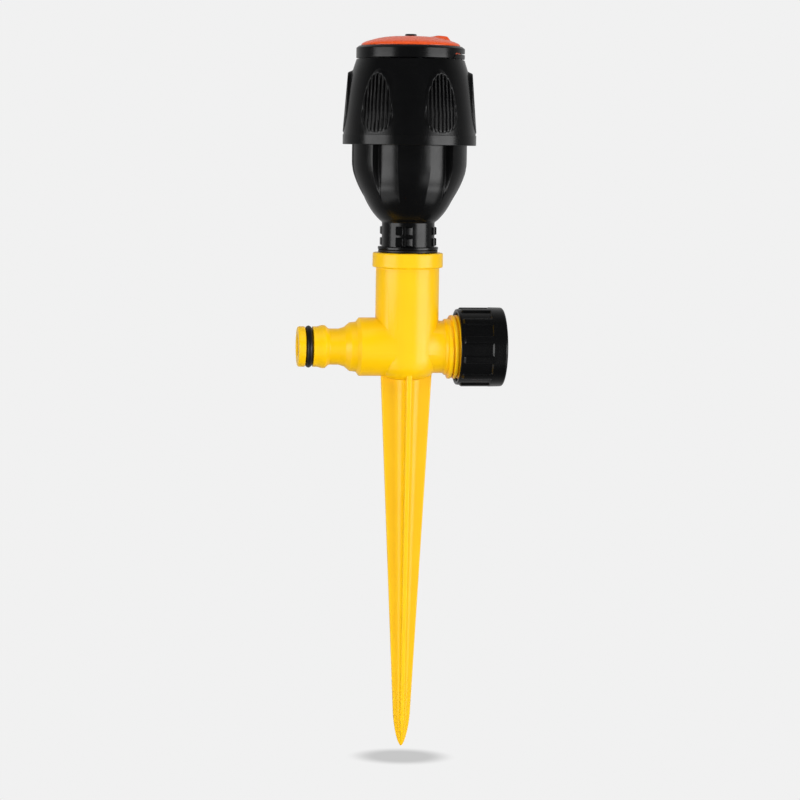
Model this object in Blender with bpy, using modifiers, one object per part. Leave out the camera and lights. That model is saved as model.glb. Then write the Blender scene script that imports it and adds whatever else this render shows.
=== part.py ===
"""Spiked garden sprinkler: a turbine-driven rotary head screwed onto a tee-bodied ground spike.

The frame's origin is the ground line, the underside of the tee barrel on the head's axis. +Z runs
up to the head, -X points out of the hose nipple, +X out of the capped outlet and -Y is the front.
Every length below is in millimetres and every angle in degrees; MM turns lengths into metres.
"""
import math

import bmesh
import bpy
from mathutils import Matrix, Vector

MM = 0.001
MERGE = 1e-5
GAP = 0.3

# Ground spike and its tee.
TEE_AXIS_Z = 12.2
BARREL_R = 12.25
SOCKET_R = 13.25
SOCKET_RIM_R = 14.7
SOCKET_RIM_Z = 45.7
SOCKET_TOP_Z = 51.7
SOCKET_BORE_R = 10.9
SOCKET_BORE_Z = 35.0
RISER_BORE_R = 7.0
STAKE_TOP_Z = 3.0
STAKE_TIP_Z = -158.6
STAKE_TOP_R = 10.9
STAKE_LOW_R = 3.7
STAKE_LOW_Z = -143.0
STAKE_RIB_TOP = 2.4
STAKE_RIB_LOW = 1.9

# Hose nipple, on -X.
NIPPLE_TIP_X = -46.0
NIPPLE_BORE_R = 4.3
NIPPLE_LIP_R = 8.45
NIPPLE_RIDGE_R = 9.0
NIPPLE_NECK_R = 7.55
RING_GROOVE_X = (-43.0, -39.7)
RING_GROOVE_R = 5.8
RING_SECTION_R = 1.3
RING_MEAN_R = 7.45

# Threaded outlet and its cap, on +X.
OUTLET_NECK_R = 11.0
OUTLET_CORE_R = 12.1
OUTLET_THREAD_R = 13.4
OUTLET_PITCH = 2.209
OUTLET_THREAD_X = 16.75
OUTLET_TURNS = 6
OUTLET_END_X = 35.2
OUTLET_BORE_R = 9.2
CAP_OPEN_X = 20.9
CAP_END_X = 40.5
CAP_WALL_X = 37.8
CAP_BORE_R = 13.9
CAP_ROOT_R = 15.9
CAP_RIB_R = 16.8
CAP_RIB_END_X = 34.0
CAP_RIBS = 12
CAP_RIB_WIDTH = 3.3

# Rotary head: bowl, neck, threaded stem and collar.
HEAD_TURN = -8.0
STEM_LOW_Z = 37.0
STEM_CORE_R = 9.5
STEM_THREAD_R = 10.4
STEM_PITCH = 1.814
STEM_THREAD_Z = 38.2
STEM_TURNS = 5
STEM_BORE_R = 7.0
FLANGE_R = 12.6
FLANGE_Z = 53.05
NECK_LOW_Z = 54.2
NECK_R = 11.0
LUG_R = 11.55
LUG_ROWS_Z = (54.5, 59.2)
LUG_AZ = -6.5
LUG_SPREAD = 10.3
LUG_HEIGHT = 3.4
LUG_WIDTH = 2.9
BOWL_FLOOR_R = 20.6
BOWL_BLOCK_R = 24.15
BOWL_BLOCKS = 6
BOWL_BLOCK_ARC = 34.6
BOWL_BLOCK_AZ = 5.0
BOWL_MOUTH_Z = 107.5
MOUTH_CORE_R = 22.9
MOUTH_THREAD_R = 23.9
MOUTH_PITCH = 3.0
MOUTH_THREAD_Z = 100.2
MOUTH_TURNS = 2
COLLAR_LOW_Z = 96.3
COLLAR_BAND_Z = 100.4
COLLAR_TOP_Z = 131.4
COLLAR_LOW_R = 27.75
COLLAR_BORE_R = 24.5
COLLAR_PADS = 6
COLLAR_PAD_AZ = -31.7
PAD_Z = 114.5
PAD_CENTRE_R = 25.1
PAD_WIDTH_R = 7.2
PAD_HEIGHT_R = 13.6
PAD_DEPTH_R = 1.9
PAD_LEAN = 1.7

# Gear cartridge inside the head.
CARTRIDGE_R = 22.9
CARTRIDGE_SPIDER_Z = (107.8, 109.8)
HOUSING_LOW_Z = 110.1
CASE_R = 16.2
CASE_WALL = 1.2
CASE_Z = (91.0, 107.5)
CASE_FLOOR = 1.4
STATOR_Z = (82.0, 90.8)
STATOR_R = 15.6
STATOR_PORTS = 6
TURBINE_Z = (84.8, 89.4)
TURBINE_HUB_R = 3.0
TURBINE_BLADES = 8
SHAFT_R = 1.0
SHAFT_FIT = 0.25
PIN_R = 0.9

# Gear train: three equal pairs on a common centre distance.
GEAR_MODULE = 0.5
GEAR_TEETH = 24
PINION_TEETH = 8
PRESSURE_ANGLE = 25.0
PROFILE_SHIFT = 0.2
ADDENDUM = 0.8
DEDENDUM = 1.25
BACKLASH = 0.08
GEAR_CENTRES = GEAR_MODULE * (GEAR_TEETH + PINION_TEETH) / 2
PIN_A_AZ = 0.0
PIN_B_AZ = 60.0
LEVEL_ONE_Z = (93.4, 95.4)
LEVEL_TWO_Z = (96.2, 98.2)
LEVEL_THREE_Z = (99.2, 101.2)

# Turret that carries the nozzle.
TURRET_LOW_Z = 131.8
TURRET_TOP_Z = 136.9
TURRET_R = 22.5
TURRET_WALL_R = 20.9
NOZZLE_AZ = 90.0
SLIT_ARC = 88.0
SLIT_Z = (133.3, 134.5)
BAND_R = (19.6, 20.6)
BAND_Z = (133.5, 136.2)
BAND_ARC = 92.0
DOME_TOP_Z = 141.0
DOME_EDGE_R = 20.5
RISER_OUTER_R = 9.0
RISER_INNER_R = 7.0

STEPS_FINE = 36
STEPS_MEDIUM = 24
STEPS_COARSE = 20
STEPS_SMALL = 16


# Scene, materials and naming.

def clear_scene():
    for obj in list(bpy.data.objects):
        bpy.data.objects.remove(obj, do_unlink=True)


def make_collection(name):
    collection = bpy.data.collections.new(name)
    bpy.context.scene.collection.children.link(collection)
    return collection


def make_material(name, colour, roughness, metallic=0.0):
    material = bpy.data.materials.new(name)
    material.use_nodes = True
    shader = material.node_tree.nodes["Principled BSDF"]
    shader.inputs["Base Color"].default_value = (*colour, 1.0)
    shader.inputs["Roughness"].default_value = roughness
    shader.inputs["Metallic"].default_value = metallic
    material.diffuse_color = (*colour, 1.0)
    return material


clear_scene()
PARTS = make_collection("sprinkler")
TOOLS = make_collection("sprinkler_cutters")

YELLOW = make_material("yellow_plastic", (0.98, 0.66, 0.01), 0.35)
BLACK = make_material("black_plastic", (0.012, 0.012, 0.013), 0.42)
ORANGE = make_material("orange_plastic", (0.75, 0.08, 0.02), 0.35)
GREY = make_material("grey_plastic", (0.25, 0.26, 0.27), 0.45)
WHITE = make_material("white_acetal", (0.82, 0.81, 0.77), 0.4)
RUBBER = make_material("black_rubber", (0.015, 0.015, 0.015), 0.6)
STEEL = make_material("stainless_steel", (0.6, 0.6, 0.62), 0.25, 1.0)
BRASS = make_material("brass", (0.72, 0.5, 0.2), 0.3, 1.0)


# Shape helpers. Each returns an object in TOOLS; finish() moves one to PARTS as a named node.

def add_object(name, mesh):
    obj = bpy.data.objects.new(name, mesh)
    TOOLS.objects.link(obj)
    obj.hide_render = True
    obj.display_type = "WIRE"
    return obj


def direction(azimuth):
    """Unit vector in the plan view: azimuth 0 is the front, -Y, and 90 is +X."""
    angle = math.radians(azimuth)
    return Vector((math.sin(angle), -math.cos(angle), 0.0))


def plan_angle(azimuth):
    """Angle about +Z, from +X, of an azimuth counted from the front towards +X."""
    return math.radians(azimuth - 90.0)


def arc(centre_r, centre_z, radius, start, end, count):
    """Points of a circular arc in a profile, its angles counted from +r towards +z."""
    points = []
    for index in range(count + 1):
        angle = math.radians(start + (end - start) * index / count)
        points.append((centre_r + radius * math.cos(angle), centre_z + radius * math.sin(angle)))
    return points


def screw(obj, steps, angle=360.0, pitch=0.0, turns=1):
    modifier = obj.modifiers.new("Turn", "SCREW")
    modifier.axis = "Z"
    modifier.angle = math.radians(angle)
    modifier.steps = steps
    modifier.render_steps = steps
    modifier.screw_offset = pitch * MM
    modifier.iterations = turns
    modifier.use_merge_vertices = pitch == 0.0
    modifier.merge_threshold = MERGE
    modifier.use_smooth_shade = True
    return modifier


def profile_mesh(name, points, closed):
    mesh = bpy.data.meshes.new(name)
    vertices = [(r * MM, 0.0, z * MM) for r, z in points]
    edges = [(i, i + 1) for i in range(len(points) - 1)]
    if closed:
        edges.append((len(points) - 1, 0))
    mesh.from_pydata(vertices, edges, [])
    return mesh


def turned(name, points, steps=STEPS_MEDIUM, closed=True):
    """Turn a profile of (r, z) points about Z, listed down the outer side and up the inner one."""
    obj = add_object(name, profile_mesh(name, points, closed))
    screw(obj, steps)
    return obj


def turned_solid(name, points, steps=STEPS_SMALL):
    """Turn a profile that starts and ends on the axis."""
    return turned(name, points, steps, closed=False)


def ring(name, inner_r, outer_r, low, high, steps=STEPS_MEDIUM):
    return turned(name, [(outer_r, high), (outer_r, low), (inner_r, low), (inner_r, high)], steps)


def rod(name, radius, low, high, steps=STEPS_SMALL):
    return turned_solid(name, [(0.0, high), (radius, high), (radius, low), (0.0, low)], steps)


def box(name, size, centre, azimuth=None):
    """A block of full sizes (x, y, z), its x side turned to face azimuth."""
    mesh = bpy.data.meshes.new(name)
    shape = bmesh.new()
    bmesh.ops.create_cube(shape, size=1.0)
    bmesh.ops.scale(shape, vec=Vector(size) * MM, verts=shape.verts)
    shape.to_mesh(mesh)
    shape.free()
    obj = add_object(name, mesh)
    turn = 0.0 if azimuth is None else plan_angle(azimuth)
    obj.matrix_world = Matrix.Rotation(turn, 4, "Z") @ Matrix.Translation(Vector(centre) * MM)
    return obj


def as_mesh(obj, name=None):
    """Replace an object by a plain mesh of its evaluated shape, welded and with its ends filled."""
    bpy.context.view_layer.update()
    evaluated = obj.evaluated_get(bpy.context.evaluated_depsgraph_get())
    mesh = bpy.data.meshes.new_from_object(evaluated)
    shape = bmesh.new()
    shape.from_mesh(mesh)
    bmesh.ops.remove_doubles(shape, verts=shape.verts, dist=MERGE)
    open_edges = [edge for edge in shape.edges if edge.is_boundary]
    if open_edges:
        bmesh.ops.holes_fill(shape, edges=open_edges, sides=0)
    bmesh.ops.recalc_face_normals(shape, faces=shape.faces)
    shape.to_mesh(mesh)
    shape.free()
    solid = add_object(name or obj.name, mesh)
    solid.matrix_world = obj.matrix_world
    used = [modifier.object for modifier in obj.modifiers if modifier.type == "BOOLEAN"]
    for spent in [obj, *used]:
        bpy.data.objects.remove(spent, do_unlink=True)
    return solid


def plate(name, outlines, low, high):
    """Extrude flat outlines between two heights; an outline inside another is a hole."""
    curve = bpy.data.curves.new(name, "CURVE")
    curve.dimensions = "2D"
    curve.fill_mode = "BOTH"
    curve.extrude = (high - low) / 2 * MM
    for outline in outlines:
        spline = curve.splines.new("POLY")
        spline.points.add(len(outline) - 1)
        spline.use_cyclic_u = True
        for point, (x, y) in zip(spline.points, outline):
            point.co = (x * MM, y * MM, 0.0, 1.0)
    obj = add_object(name, curve)
    obj.location.z = (low + high) / 2 * MM
    return as_mesh(obj)


def circle(radius, count=STEPS_SMALL, x=0.0, y=0.0):
    angles = [2 * math.pi * index / count for index in range(count)]
    return [(x + radius * math.cos(a), y + radius * math.sin(a)) for a in angles]


def arc_window(inner_r, outer_r, centre, width, count=5):
    """Outline of a curved slot, its centre and width given as plan angles in degrees."""
    angles = [math.radians(centre + width * (index / count - 0.5)) for index in range(count + 1)]
    outer = [(outer_r * math.cos(a), outer_r * math.sin(a)) for a in angles]
    inner = [(inner_r * math.cos(a), inner_r * math.sin(a)) for a in reversed(angles)]
    return outer + inner


def helix_ridge(name, root_r, crest_r, pitch, start, turns, root_width, crest_width, steps=18):
    """A screw thread's ridge about Z, its root sunk in the core that it is joined to."""
    points = [
        (root_r, start + root_width / 2), (crest_r, start + crest_width / 2),
        (crest_r, start - crest_width / 2), (root_r, start - root_width / 2),
    ]
    obj = add_object(name, profile_mesh(name, points, closed=True))
    screw(obj, steps, pitch=pitch, turns=turns)
    return as_mesh(obj)


def combine(target, tool, operation):
    modifier = target.modifiers.new(operation.title(), "BOOLEAN")
    modifier.operation = operation
    modifier.solver = "EXACT"
    modifier.object = tool


def join(target, *tools):
    for tool in tools:
        combine(target, tool, "UNION")


def cut(target, *tools):
    for tool in tools:
        combine(target, tool, "DIFFERENCE")


def along_x(obj, turn=0.0):
    """Turn a piece modelled about Z, then lay it along the tee's axis: its +Z becomes +X."""
    shift = Matrix.Translation((0.0, 0.0, TEE_AXIS_Z * MM))
    lay = Matrix.Rotation(math.radians(90.0), 4, "Y")
    obj.matrix_world = shift @ lay @ Matrix.Rotation(math.radians(turn), 4, "Z")
    return obj


def finish(obj, name, material, pivot=(0.0, 0.0, 0.0)):
    """Name a piece, give it its material and put its origin on the axis that it turns about."""
    solid = as_mesh(obj, name)
    solid.name = name
    mesh = solid.data
    mesh.name = name
    mesh.transform(Matrix.Translation(Vector(pivot) * -MM) @ solid.matrix_world)
    solid.matrix_world = Matrix.Translation(Vector(pivot) * MM)
    mesh.materials.clear()
    mesh.materials.append(material)
    mesh.shade_smooth()
    mesh.set_sharp_from_angle(angle=math.radians(30.0))
    TOOLS.objects.unlink(solid)
    PARTS.objects.link(solid)
    solid.hide_render = False
    solid.display_type = "TEXTURED"
    return solid


# Ground spike: socket, tee, hose nipple, threaded outlet and stake in one moulding.

def stake_section(reach, rib):
    """A cross-shaped outline with rounded inner corners; reach is the ribs' half span."""
    fillet = (reach - rib / 2) * 0.5
    centre = rib / 2 + fillet
    outline = []
    for quarter in range(4):
        turn = math.radians(90.0 * quarter)
        corner = [(reach, rib / 2)]
        for index in range(4):
            angle = math.radians(270.0 - 90.0 * index / 3)
            corner.append((centre + fillet * math.cos(angle), centre + fillet * math.sin(angle)))
        corner.append((rib / 2, reach))
        for x, y in corner:
            outline.append((x * math.cos(turn) - y * math.sin(turn),
                            x * math.sin(turn) + y * math.cos(turn)))
    return outline


def stake_levels():
    """Heights, half spans and rib widths down the stake: a long taper, then a rounded point."""
    levels = [(STAKE_TOP_Z, STAKE_TOP_R, STAKE_RIB_TOP), (STAKE_LOW_Z, STAKE_LOW_R, STAKE_RIB_LOW)]
    point_length = STAKE_LOW_Z - STAKE_TIP_Z
    for share in (0.35, 0.65, 0.85, 0.97):
        scale = math.sqrt(1.0 - share)
        levels.append((STAKE_LOW_Z - share * point_length, STAKE_LOW_R * scale,
                       STAKE_RIB_LOW * scale))
    return levels


def make_stake():
    shape = bmesh.new()
    rings = []
    for z, reach, rib in stake_levels():
        outline = stake_section(reach, rib)
        rings.append([shape.verts.new((x * MM, y * MM, z * MM)) for x, y in outline])
    count = len(rings[0])
    for upper, lower in zip(rings, rings[1:]):
        for index in range(count):
            following = (index + 1) % count
            shape.faces.new((upper[index], lower[index], lower[following], upper[following]))
    shape.faces.new(rings[0])
    tip = shape.verts.new((0.0, 0.0, STAKE_TIP_Z * MM))
    for index in range(count):
        shape.faces.new((rings[-1][index], tip, rings[-1][(index + 1) % count]))
    bmesh.ops.recalc_face_normals(shape, faces=shape.faces)
    mesh = bpy.data.meshes.new("stake")
    shape.to_mesh(mesh)
    shape.free()
    return add_object("stake", mesh)


def make_spike_body():
    socket = turned_solid("socket", [
        (0.0, SOCKET_TOP_Z), (SOCKET_RIM_R - 0.5, SOCKET_TOP_Z), (SOCKET_RIM_R, SOCKET_TOP_Z - 0.5),
        (SOCKET_RIM_R, SOCKET_RIM_Z + 0.6), (SOCKET_RIM_R - 0.5, SOCKET_RIM_Z),
        (SOCKET_R, SOCKET_RIM_Z - 0.4), (SOCKET_R, 8.0), (12.4, 2.8), (10.0, -0.8), (6.0, -2.6),
        (0.0, -3.0),
    ], STEPS_FINE - 8)
    barrel = along_x(turned_solid("barrel", [
        (0.0, OUTLET_END_X), (OUTLET_CORE_R - 0.4, OUTLET_END_X),
        (OUTLET_CORE_R, OUTLET_END_X - 0.4), (OUTLET_CORE_R, 16.2), (OUTLET_NECK_R, 15.6),
        (OUTLET_NECK_R, 4.0), (BARREL_R, 3.0), (BARREL_R, -19.7), (10.45, -21.6), (10.1, -24.3),
        (8.5, -26.2), (NIPPLE_NECK_R, -28.6), (NIPPLE_NECK_R, -32.8), (NIPPLE_RIDGE_R, -34.8),
        (NIPPLE_RIDGE_R, -35.6), (NIPPLE_LIP_R, -37.6), (NIPPLE_LIP_R, RING_GROOVE_X[1]),
        (RING_GROOVE_R, RING_GROOVE_X[1]), (RING_GROOVE_R, RING_GROOVE_X[0]),
        (NIPPLE_LIP_R, RING_GROOVE_X[0]), (NIPPLE_LIP_R, -45.2), (NIPPLE_LIP_R - 0.8, NIPPLE_TIP_X),
        (0.0, NIPPLE_TIP_X),
    ], STEPS_MEDIUM))
    thread = along_x(helix_ridge("outlet_thread", OUTLET_CORE_R - 0.4, OUTLET_THREAD_R,
                                 OUTLET_PITCH, OUTLET_THREAD_X, OUTLET_TURNS, 1.9, 0.6), 180.0)
    upright_bore = turned_solid("upright_bore", [
        (0.0, SOCKET_TOP_Z + 1.0), (SOCKET_BORE_R, SOCKET_TOP_Z + 1.0),
        (SOCKET_BORE_R, SOCKET_BORE_Z), (RISER_BORE_R, SOCKET_BORE_Z - 2.0),
        (RISER_BORE_R, TEE_AXIS_Z), (0.0, TEE_AXIS_Z),
    ], STEPS_COARSE)
    level_bore = along_x(turned_solid("level_bore", [
        (0.0, OUTLET_END_X + 1.0), (OUTLET_BORE_R, OUTLET_END_X + 1.0), (OUTLET_BORE_R, -5.0),
        (NIPPLE_BORE_R, -9.0), (NIPPLE_BORE_R, NIPPLE_TIP_X - 1.0), (0.0, NIPPLE_TIP_X - 1.0),
    ], STEPS_COARSE))
    join(socket, barrel, thread, make_stake())
    cut(socket, upright_bore, level_bore)
    finish(socket, "spike_body", YELLOW)


def make_nipple_ring():
    middle = sum(RING_GROOVE_X) / 2
    section = arc(RING_MEAN_R, middle, RING_SECTION_R, 90.0, -210.0, 5)
    finish(along_x(turned("nipple_ring", section, STEPS_MEDIUM)), "nipple_o_ring", RUBBER)


def make_outlet_cap():
    cap = along_x(turned("cap_shell", [
        (0.0, CAP_END_X), (CAP_ROOT_R - 0.6, CAP_END_X), (CAP_RIB_R - 0.3, CAP_END_X - 0.7),
        (CAP_RIB_R - 0.2, CAP_RIB_END_X), (CAP_ROOT_R, CAP_RIB_END_X - 0.4),
        (CAP_ROOT_R, CAP_OPEN_X + 0.6), (CAP_ROOT_R - 0.6, CAP_OPEN_X), (CAP_BORE_R, CAP_OPEN_X),
        (CAP_BORE_R, CAP_WALL_X), (0.0, CAP_WALL_X),
    ], 24, closed=False))
    length = CAP_RIB_END_X + 0.5 - CAP_OPEN_X - 0.9
    depth = CAP_RIB_R - CAP_ROOT_R + 1.0
    ribs = []
    for index in range(CAP_RIBS):
        rib = box("cap_rib", (length, CAP_RIB_WIDTH, depth),
                  (CAP_OPEN_X + 0.9 + length / 2, 0.0, CAP_RIB_R - depth / 2))
        turn = Matrix.Rotation(math.radians(360.0 * (index + 0.5) / CAP_RIBS), 4, "X")
        rib.matrix_world = Matrix.Translation((0, 0, TEE_AXIS_Z * MM)) @ turn @ rib.matrix_world
        ribs.append(rib)
    join(cap, *ribs)
    finish(cap, "outlet_cap", BLACK, pivot=(CAP_OPEN_X, 0.0, TEE_AXIS_Z))
    washer = along_x(ring("cap_washer", 8.6, 13.4, OUTLET_END_X + GAP, CAP_WALL_X - GAP, 24))
    finish(washer, "outlet_cap_washer", RUBBER, pivot=(CAP_OPEN_X, 0.0, TEE_AXIS_Z))


# Rotary head: the bowl with its stem, the filter, the collar and the gasket under the flange.

def bowl_outer():
    """The smooth bowl's outer side, from its mouth down to the neck."""
    return [
        (MOUTH_CORE_R, BOWL_MOUTH_Z), (MOUTH_CORE_R, COLLAR_LOW_Z + 1.0),
        (BOWL_FLOOR_R, COLLAR_LOW_Z), (BOWL_FLOOR_R, 78.4), (19.7, 76.4), (18.3, 73.7),
        (16.9, 71.2), (15.2, 68.7), (13.2, 66.1), (11.6, 64.6),
    ]


def bowl_block():
    """One of the raised grip blocks round the bowl, as a wedge of a turned profile."""
    block = add_object("bowl_block", profile_mesh("bowl_block", [
        (BOWL_BLOCK_R - 0.5, COLLAR_LOW_Z + 1.4), (BOWL_BLOCK_R, COLLAR_LOW_Z), (BOWL_BLOCK_R, 88.9),
        (23.8, 86.4), (23.25, 83.9), (22.35, 81.3), (21.1, 78.8), (20.1, 77.0), (19.2, 77.0),
        (19.2, COLLAR_LOW_Z + 1.4),
    ], closed=True))
    screw(block, 4, angle=BOWL_BLOCK_ARC)
    return as_mesh(block)


def make_head_bowl():
    bowl = turned_solid("bowl", [(0.0, BOWL_MOUTH_Z)] + bowl_outer() + [
        (NECK_R, 64.2), (NECK_R, NECK_LOW_Z), (FLANGE_R, NECK_LOW_Z), (FLANGE_R, FLANGE_Z),
        (STEM_CORE_R, FLANGE_Z), (STEM_CORE_R, STEM_LOW_Z), (0.0, STEM_LOW_Z),
    ], STEPS_FINE)
    cavity = turned_solid("bowl_cavity", [
        (0.0, BOWL_MOUTH_Z + 1.0), (20.9, BOWL_MOUTH_Z + 1.0), (20.9, 98.0), (19.1, 96.0),
        (19.0, 80.0), (17.6, 77.0), (14.9, 71.6), (11.4, 66.8), (8.9, 63.6), (8.9, 55.8),
        (STEM_BORE_R, 55.8), (STEM_BORE_R, STEM_LOW_Z - 1.0), (0.0, STEM_LOW_Z - 1.0),
    ], STEPS_COARSE)
    stem_thread = helix_ridge("stem_thread", STEM_CORE_R - 0.4, STEM_THREAD_R, STEM_PITCH,
                              STEM_THREAD_Z, STEM_TURNS, 1.5, 0.4, STEPS_SMALL)
    mouth_thread = helix_ridge("mouth_thread", MOUTH_CORE_R - 0.5, MOUTH_THREAD_R, MOUTH_PITCH,
                               MOUTH_THREAD_Z, MOUTH_TURNS, 2.0, 0.6, STEPS_MEDIUM)
    join(bowl, stem_thread, mouth_thread)
    step = 360.0 / BOWL_BLOCKS
    for index in range(BOWL_BLOCKS):
        block = bowl_block()
        start = BOWL_BLOCK_AZ + HEAD_TURN + step * index - BOWL_BLOCK_ARC / 2
        block.matrix_world = Matrix.Rotation(plan_angle(start), 4, "Z")
        join(bowl, block)
    depth = LUG_R - NECK_R + 0.8
    for quarter in range(4):
        for side in (-1, 1):
            azimuth = LUG_AZ + HEAD_TURN + 90.0 * quarter + side * LUG_SPREAD
            for low in LUG_ROWS_Z:
                join(bowl, box("neck_lug", (depth, LUG_WIDTH, LUG_HEIGHT),
                               (LUG_R - depth / 2, 0.0, low + LUG_HEIGHT / 2), azimuth))
    cut(bowl, cavity)
    finish(bowl, "head_bowl", BLACK)


def make_inlet_filter():
    cup = turned_solid("filter_cup", [
        (0.0, 41.0), (5.7, 41.0), (5.7, 57.6), (8.4, 57.6), (8.4, 56.2), (6.5, 56.2), (6.5, 40.0),
        (0.0, 40.0),
    ], STEPS_COARSE)
    for index in range(4):
        cut(cup, box("filter_slot", (20.0, 1.8, 11.6), (0.0, 0.0, 48.4), 45.0 * index + 4.5))
    finish(cup, "inlet_filter", GREY)


def collar_outer():
    """The collar's flared outer side, from its top edge to the band at its foot."""
    return [
        (COLLAR_LOW_R - 5.6, COLLAR_TOP_Z), (22.5, COLLAR_TOP_Z - 0.4), (23.0, 129.2),
        (24.2, 125.6), (25.3, 120.4), (26.3, 113.5), (27.1, 106.5), (27.5, COLLAR_BAND_Z),
        (COLLAR_LOW_R, COLLAR_BAND_Z - 0.2), (COLLAR_LOW_R, COLLAR_LOW_Z),
    ]


def make_collar():
    collar = turned_solid("collar_shell", [(0.0, COLLAR_TOP_Z)] + collar_outer()
                          + [(0.0, COLLAR_LOW_Z)], STEPS_FINE)
    cavity = turned_solid("collar_cavity", [
        (0.0, COLLAR_TOP_Z + 1.0), (12.2, COLLAR_TOP_Z + 1.0), (12.2, 129.3), (20.4, 129.3),
        (21.4, 128.0), (23.4, 120.0), (23.9, 115.0), (21.8, 114.0), (21.8, 112.2),
        (COLLAR_BORE_R, 112.2), (COLLAR_BORE_R, COLLAR_LOW_Z - 1.0), (0.0, COLLAR_LOW_Z - 1.0),
    ], STEPS_MEDIUM)
    for index in range(COLLAR_PADS):
        mesh = bpy.data.meshes.new("grip_pad")
        shape = bmesh.new()
        bmesh.ops.create_uvsphere(shape, u_segments=12, v_segments=8, radius=MM)
        bmesh.ops.scale(shape, vec=(PAD_DEPTH_R, PAD_WIDTH_R, PAD_HEIGHT_R), verts=shape.verts)
        shape.to_mesh(mesh)
        shape.free()
        pad = add_object("grip_pad", mesh)
        azimuth = COLLAR_PAD_AZ + HEAD_TURN + 360.0 / COLLAR_PADS * index
        place = Matrix.Translation((PAD_CENTRE_R * MM, 0.0, PAD_Z * MM))
        tilt = Matrix.Rotation(math.radians(-PAD_LEAN), 4, "Y")
        pad.matrix_world = Matrix.Rotation(plan_angle(azimuth), 4, "Z") @ place @ tilt
        join(collar, pad)
    cut(collar, cavity)
    finish(collar, "collar", BLACK)


def make_gasket():
    finish(ring("gasket", 10.9, 12.4, SOCKET_TOP_Z + 0.2, FLANGE_Z - 0.2), "socket_gasket",
           RUBBER)


# Gear cartridge: stator, turbine, gear case, train and riser housing.

def involute(angle):
    return math.tan(angle) - angle


def gear_outline(teeth, shift, phase):
    """Outline of an involute spur gear, each tooth with straight-chorded flanks."""
    alpha = math.radians(PRESSURE_ANGLE)
    pitch_r = GEAR_MODULE * teeth / 2
    base_r = pitch_r * math.cos(alpha)
    tip_r = pitch_r + GEAR_MODULE * (ADDENDUM + shift)
    root_r = pitch_r - GEAR_MODULE * (DEDENDUM - shift)
    thickness = GEAR_MODULE * (math.pi / 2 + 2 * shift * math.tan(alpha)) - BACKLASH
    half = thickness / (2 * pitch_r) + involute(alpha)

    def flank(radius):
        return half - involute(math.acos(base_r / max(radius, base_r)))

    outline = []
    for tooth in range(teeth):
        centre = phase + 2 * math.pi * tooth / teeth
        for radius, side in ((root_r, -1), (tip_r, -1), (tip_r, 1), (root_r, 1)):
            angle = centre + side * flank(radius)
            outline.append((radius * math.cos(angle), radius * math.sin(angle)))
    return outline


def meshing_phase(driver_phase, driver_teeth, driven_teeth, bearing):
    """Phase that puts a gap of the driven gear against the driver's tooth; bearing is the plan
    angle from the driver's centre to the driven gear's."""
    offset = (driver_phase - bearing) * driver_teeth / driven_teeth
    return bearing + math.pi + math.pi / driven_teeth - offset


def pin_centre(azimuth):
    return direction(azimuth) * GEAR_CENTRES


def bearing_between(start, end):
    return math.atan2(end.y - start.y, end.x - start.x)


def make_gear(name, shift, teeth, phase, low, high, bore_r=None):
    outlines = [gear_outline(teeth, shift, phase)]
    if bore_r:
        outlines.append(circle(bore_r, 12))
    return plate(name, outlines, low, high)


def make_compound_gear(name, wheel_phase, wheel_z, pinion_top, centre):
    """An idler: a wheel with a pinion on top, running on its pin."""
    wheel = make_gear("wheel", -PROFILE_SHIFT, GEAR_TEETH, wheel_phase, *wheel_z)
    pinion = make_gear("pinion", PROFILE_SHIFT, PINION_TEETH, 0.0, wheel_z[1] - 0.3, pinion_top)
    bore = rod("idler_bore", PIN_R + GAP, wheel_z[0] - 1.0, pinion_top + 1.0, 12)
    join(wheel, pinion)
    cut(wheel, bore)
    solid = as_mesh(wheel)
    solid.data.transform(Matrix.Translation(centre * MM) @ solid.matrix_world)
    solid.matrix_world = Matrix.Identity(4)
    finish(solid, name, WHITE, pivot=(centre.x, centre.y, wheel_z[0]))


def make_gear_train():
    hub = Vector((0.0, 0.0, 0.0))
    pin_a = pin_centre(PIN_A_AZ)
    pin_b = pin_centre(PIN_B_AZ)
    phase_a = meshing_phase(0.0, PINION_TEETH, GEAR_TEETH, bearing_between(hub, pin_a))
    phase_b = meshing_phase(0.0, PINION_TEETH, GEAR_TEETH, bearing_between(pin_a, pin_b))
    phase_out = meshing_phase(0.0, PINION_TEETH, GEAR_TEETH, bearing_between(pin_b, hub))

    pinion = make_gear("shaft_pinion", PROFILE_SHIFT, PINION_TEETH, 0.0,
                       LEVEL_ONE_Z[0] - 0.2, LEVEL_ONE_Z[1] + 0.2, SHAFT_R + SHAFT_FIT)
    finish(pinion, "turbine_pinion", BRASS)
    make_compound_gear("idler_gear_lower", phase_a, LEVEL_ONE_Z, LEVEL_TWO_Z[1] + 0.4, pin_a)
    make_compound_gear("idler_gear_upper", phase_b, LEVEL_TWO_Z, LEVEL_THREE_Z[1] + 0.4, pin_b)
    for name, centre in (("idler_pin_lower", pin_a), ("idler_pin_upper", pin_b)):
        pin = rod("pin", PIN_R, CASE_Z[0] + 0.2, CARTRIDGE_SPIDER_Z[0] - 0.3, 12)
        pin.location = centre * MM
        finish(pin, name, STEEL)

    output = make_gear("output_wheel", -PROFILE_SHIFT, GEAR_TEETH, phase_out, *LEVEL_THREE_Z)
    join(output, rod("output_shaft", 2.6, LEVEL_THREE_Z[1] - 0.5, 112.4),
         box("output_square", (3.6, 3.6, 9.0), (0.0, 0.0, 115.4)))
    finish(output, "output_gear", WHITE)


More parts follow.
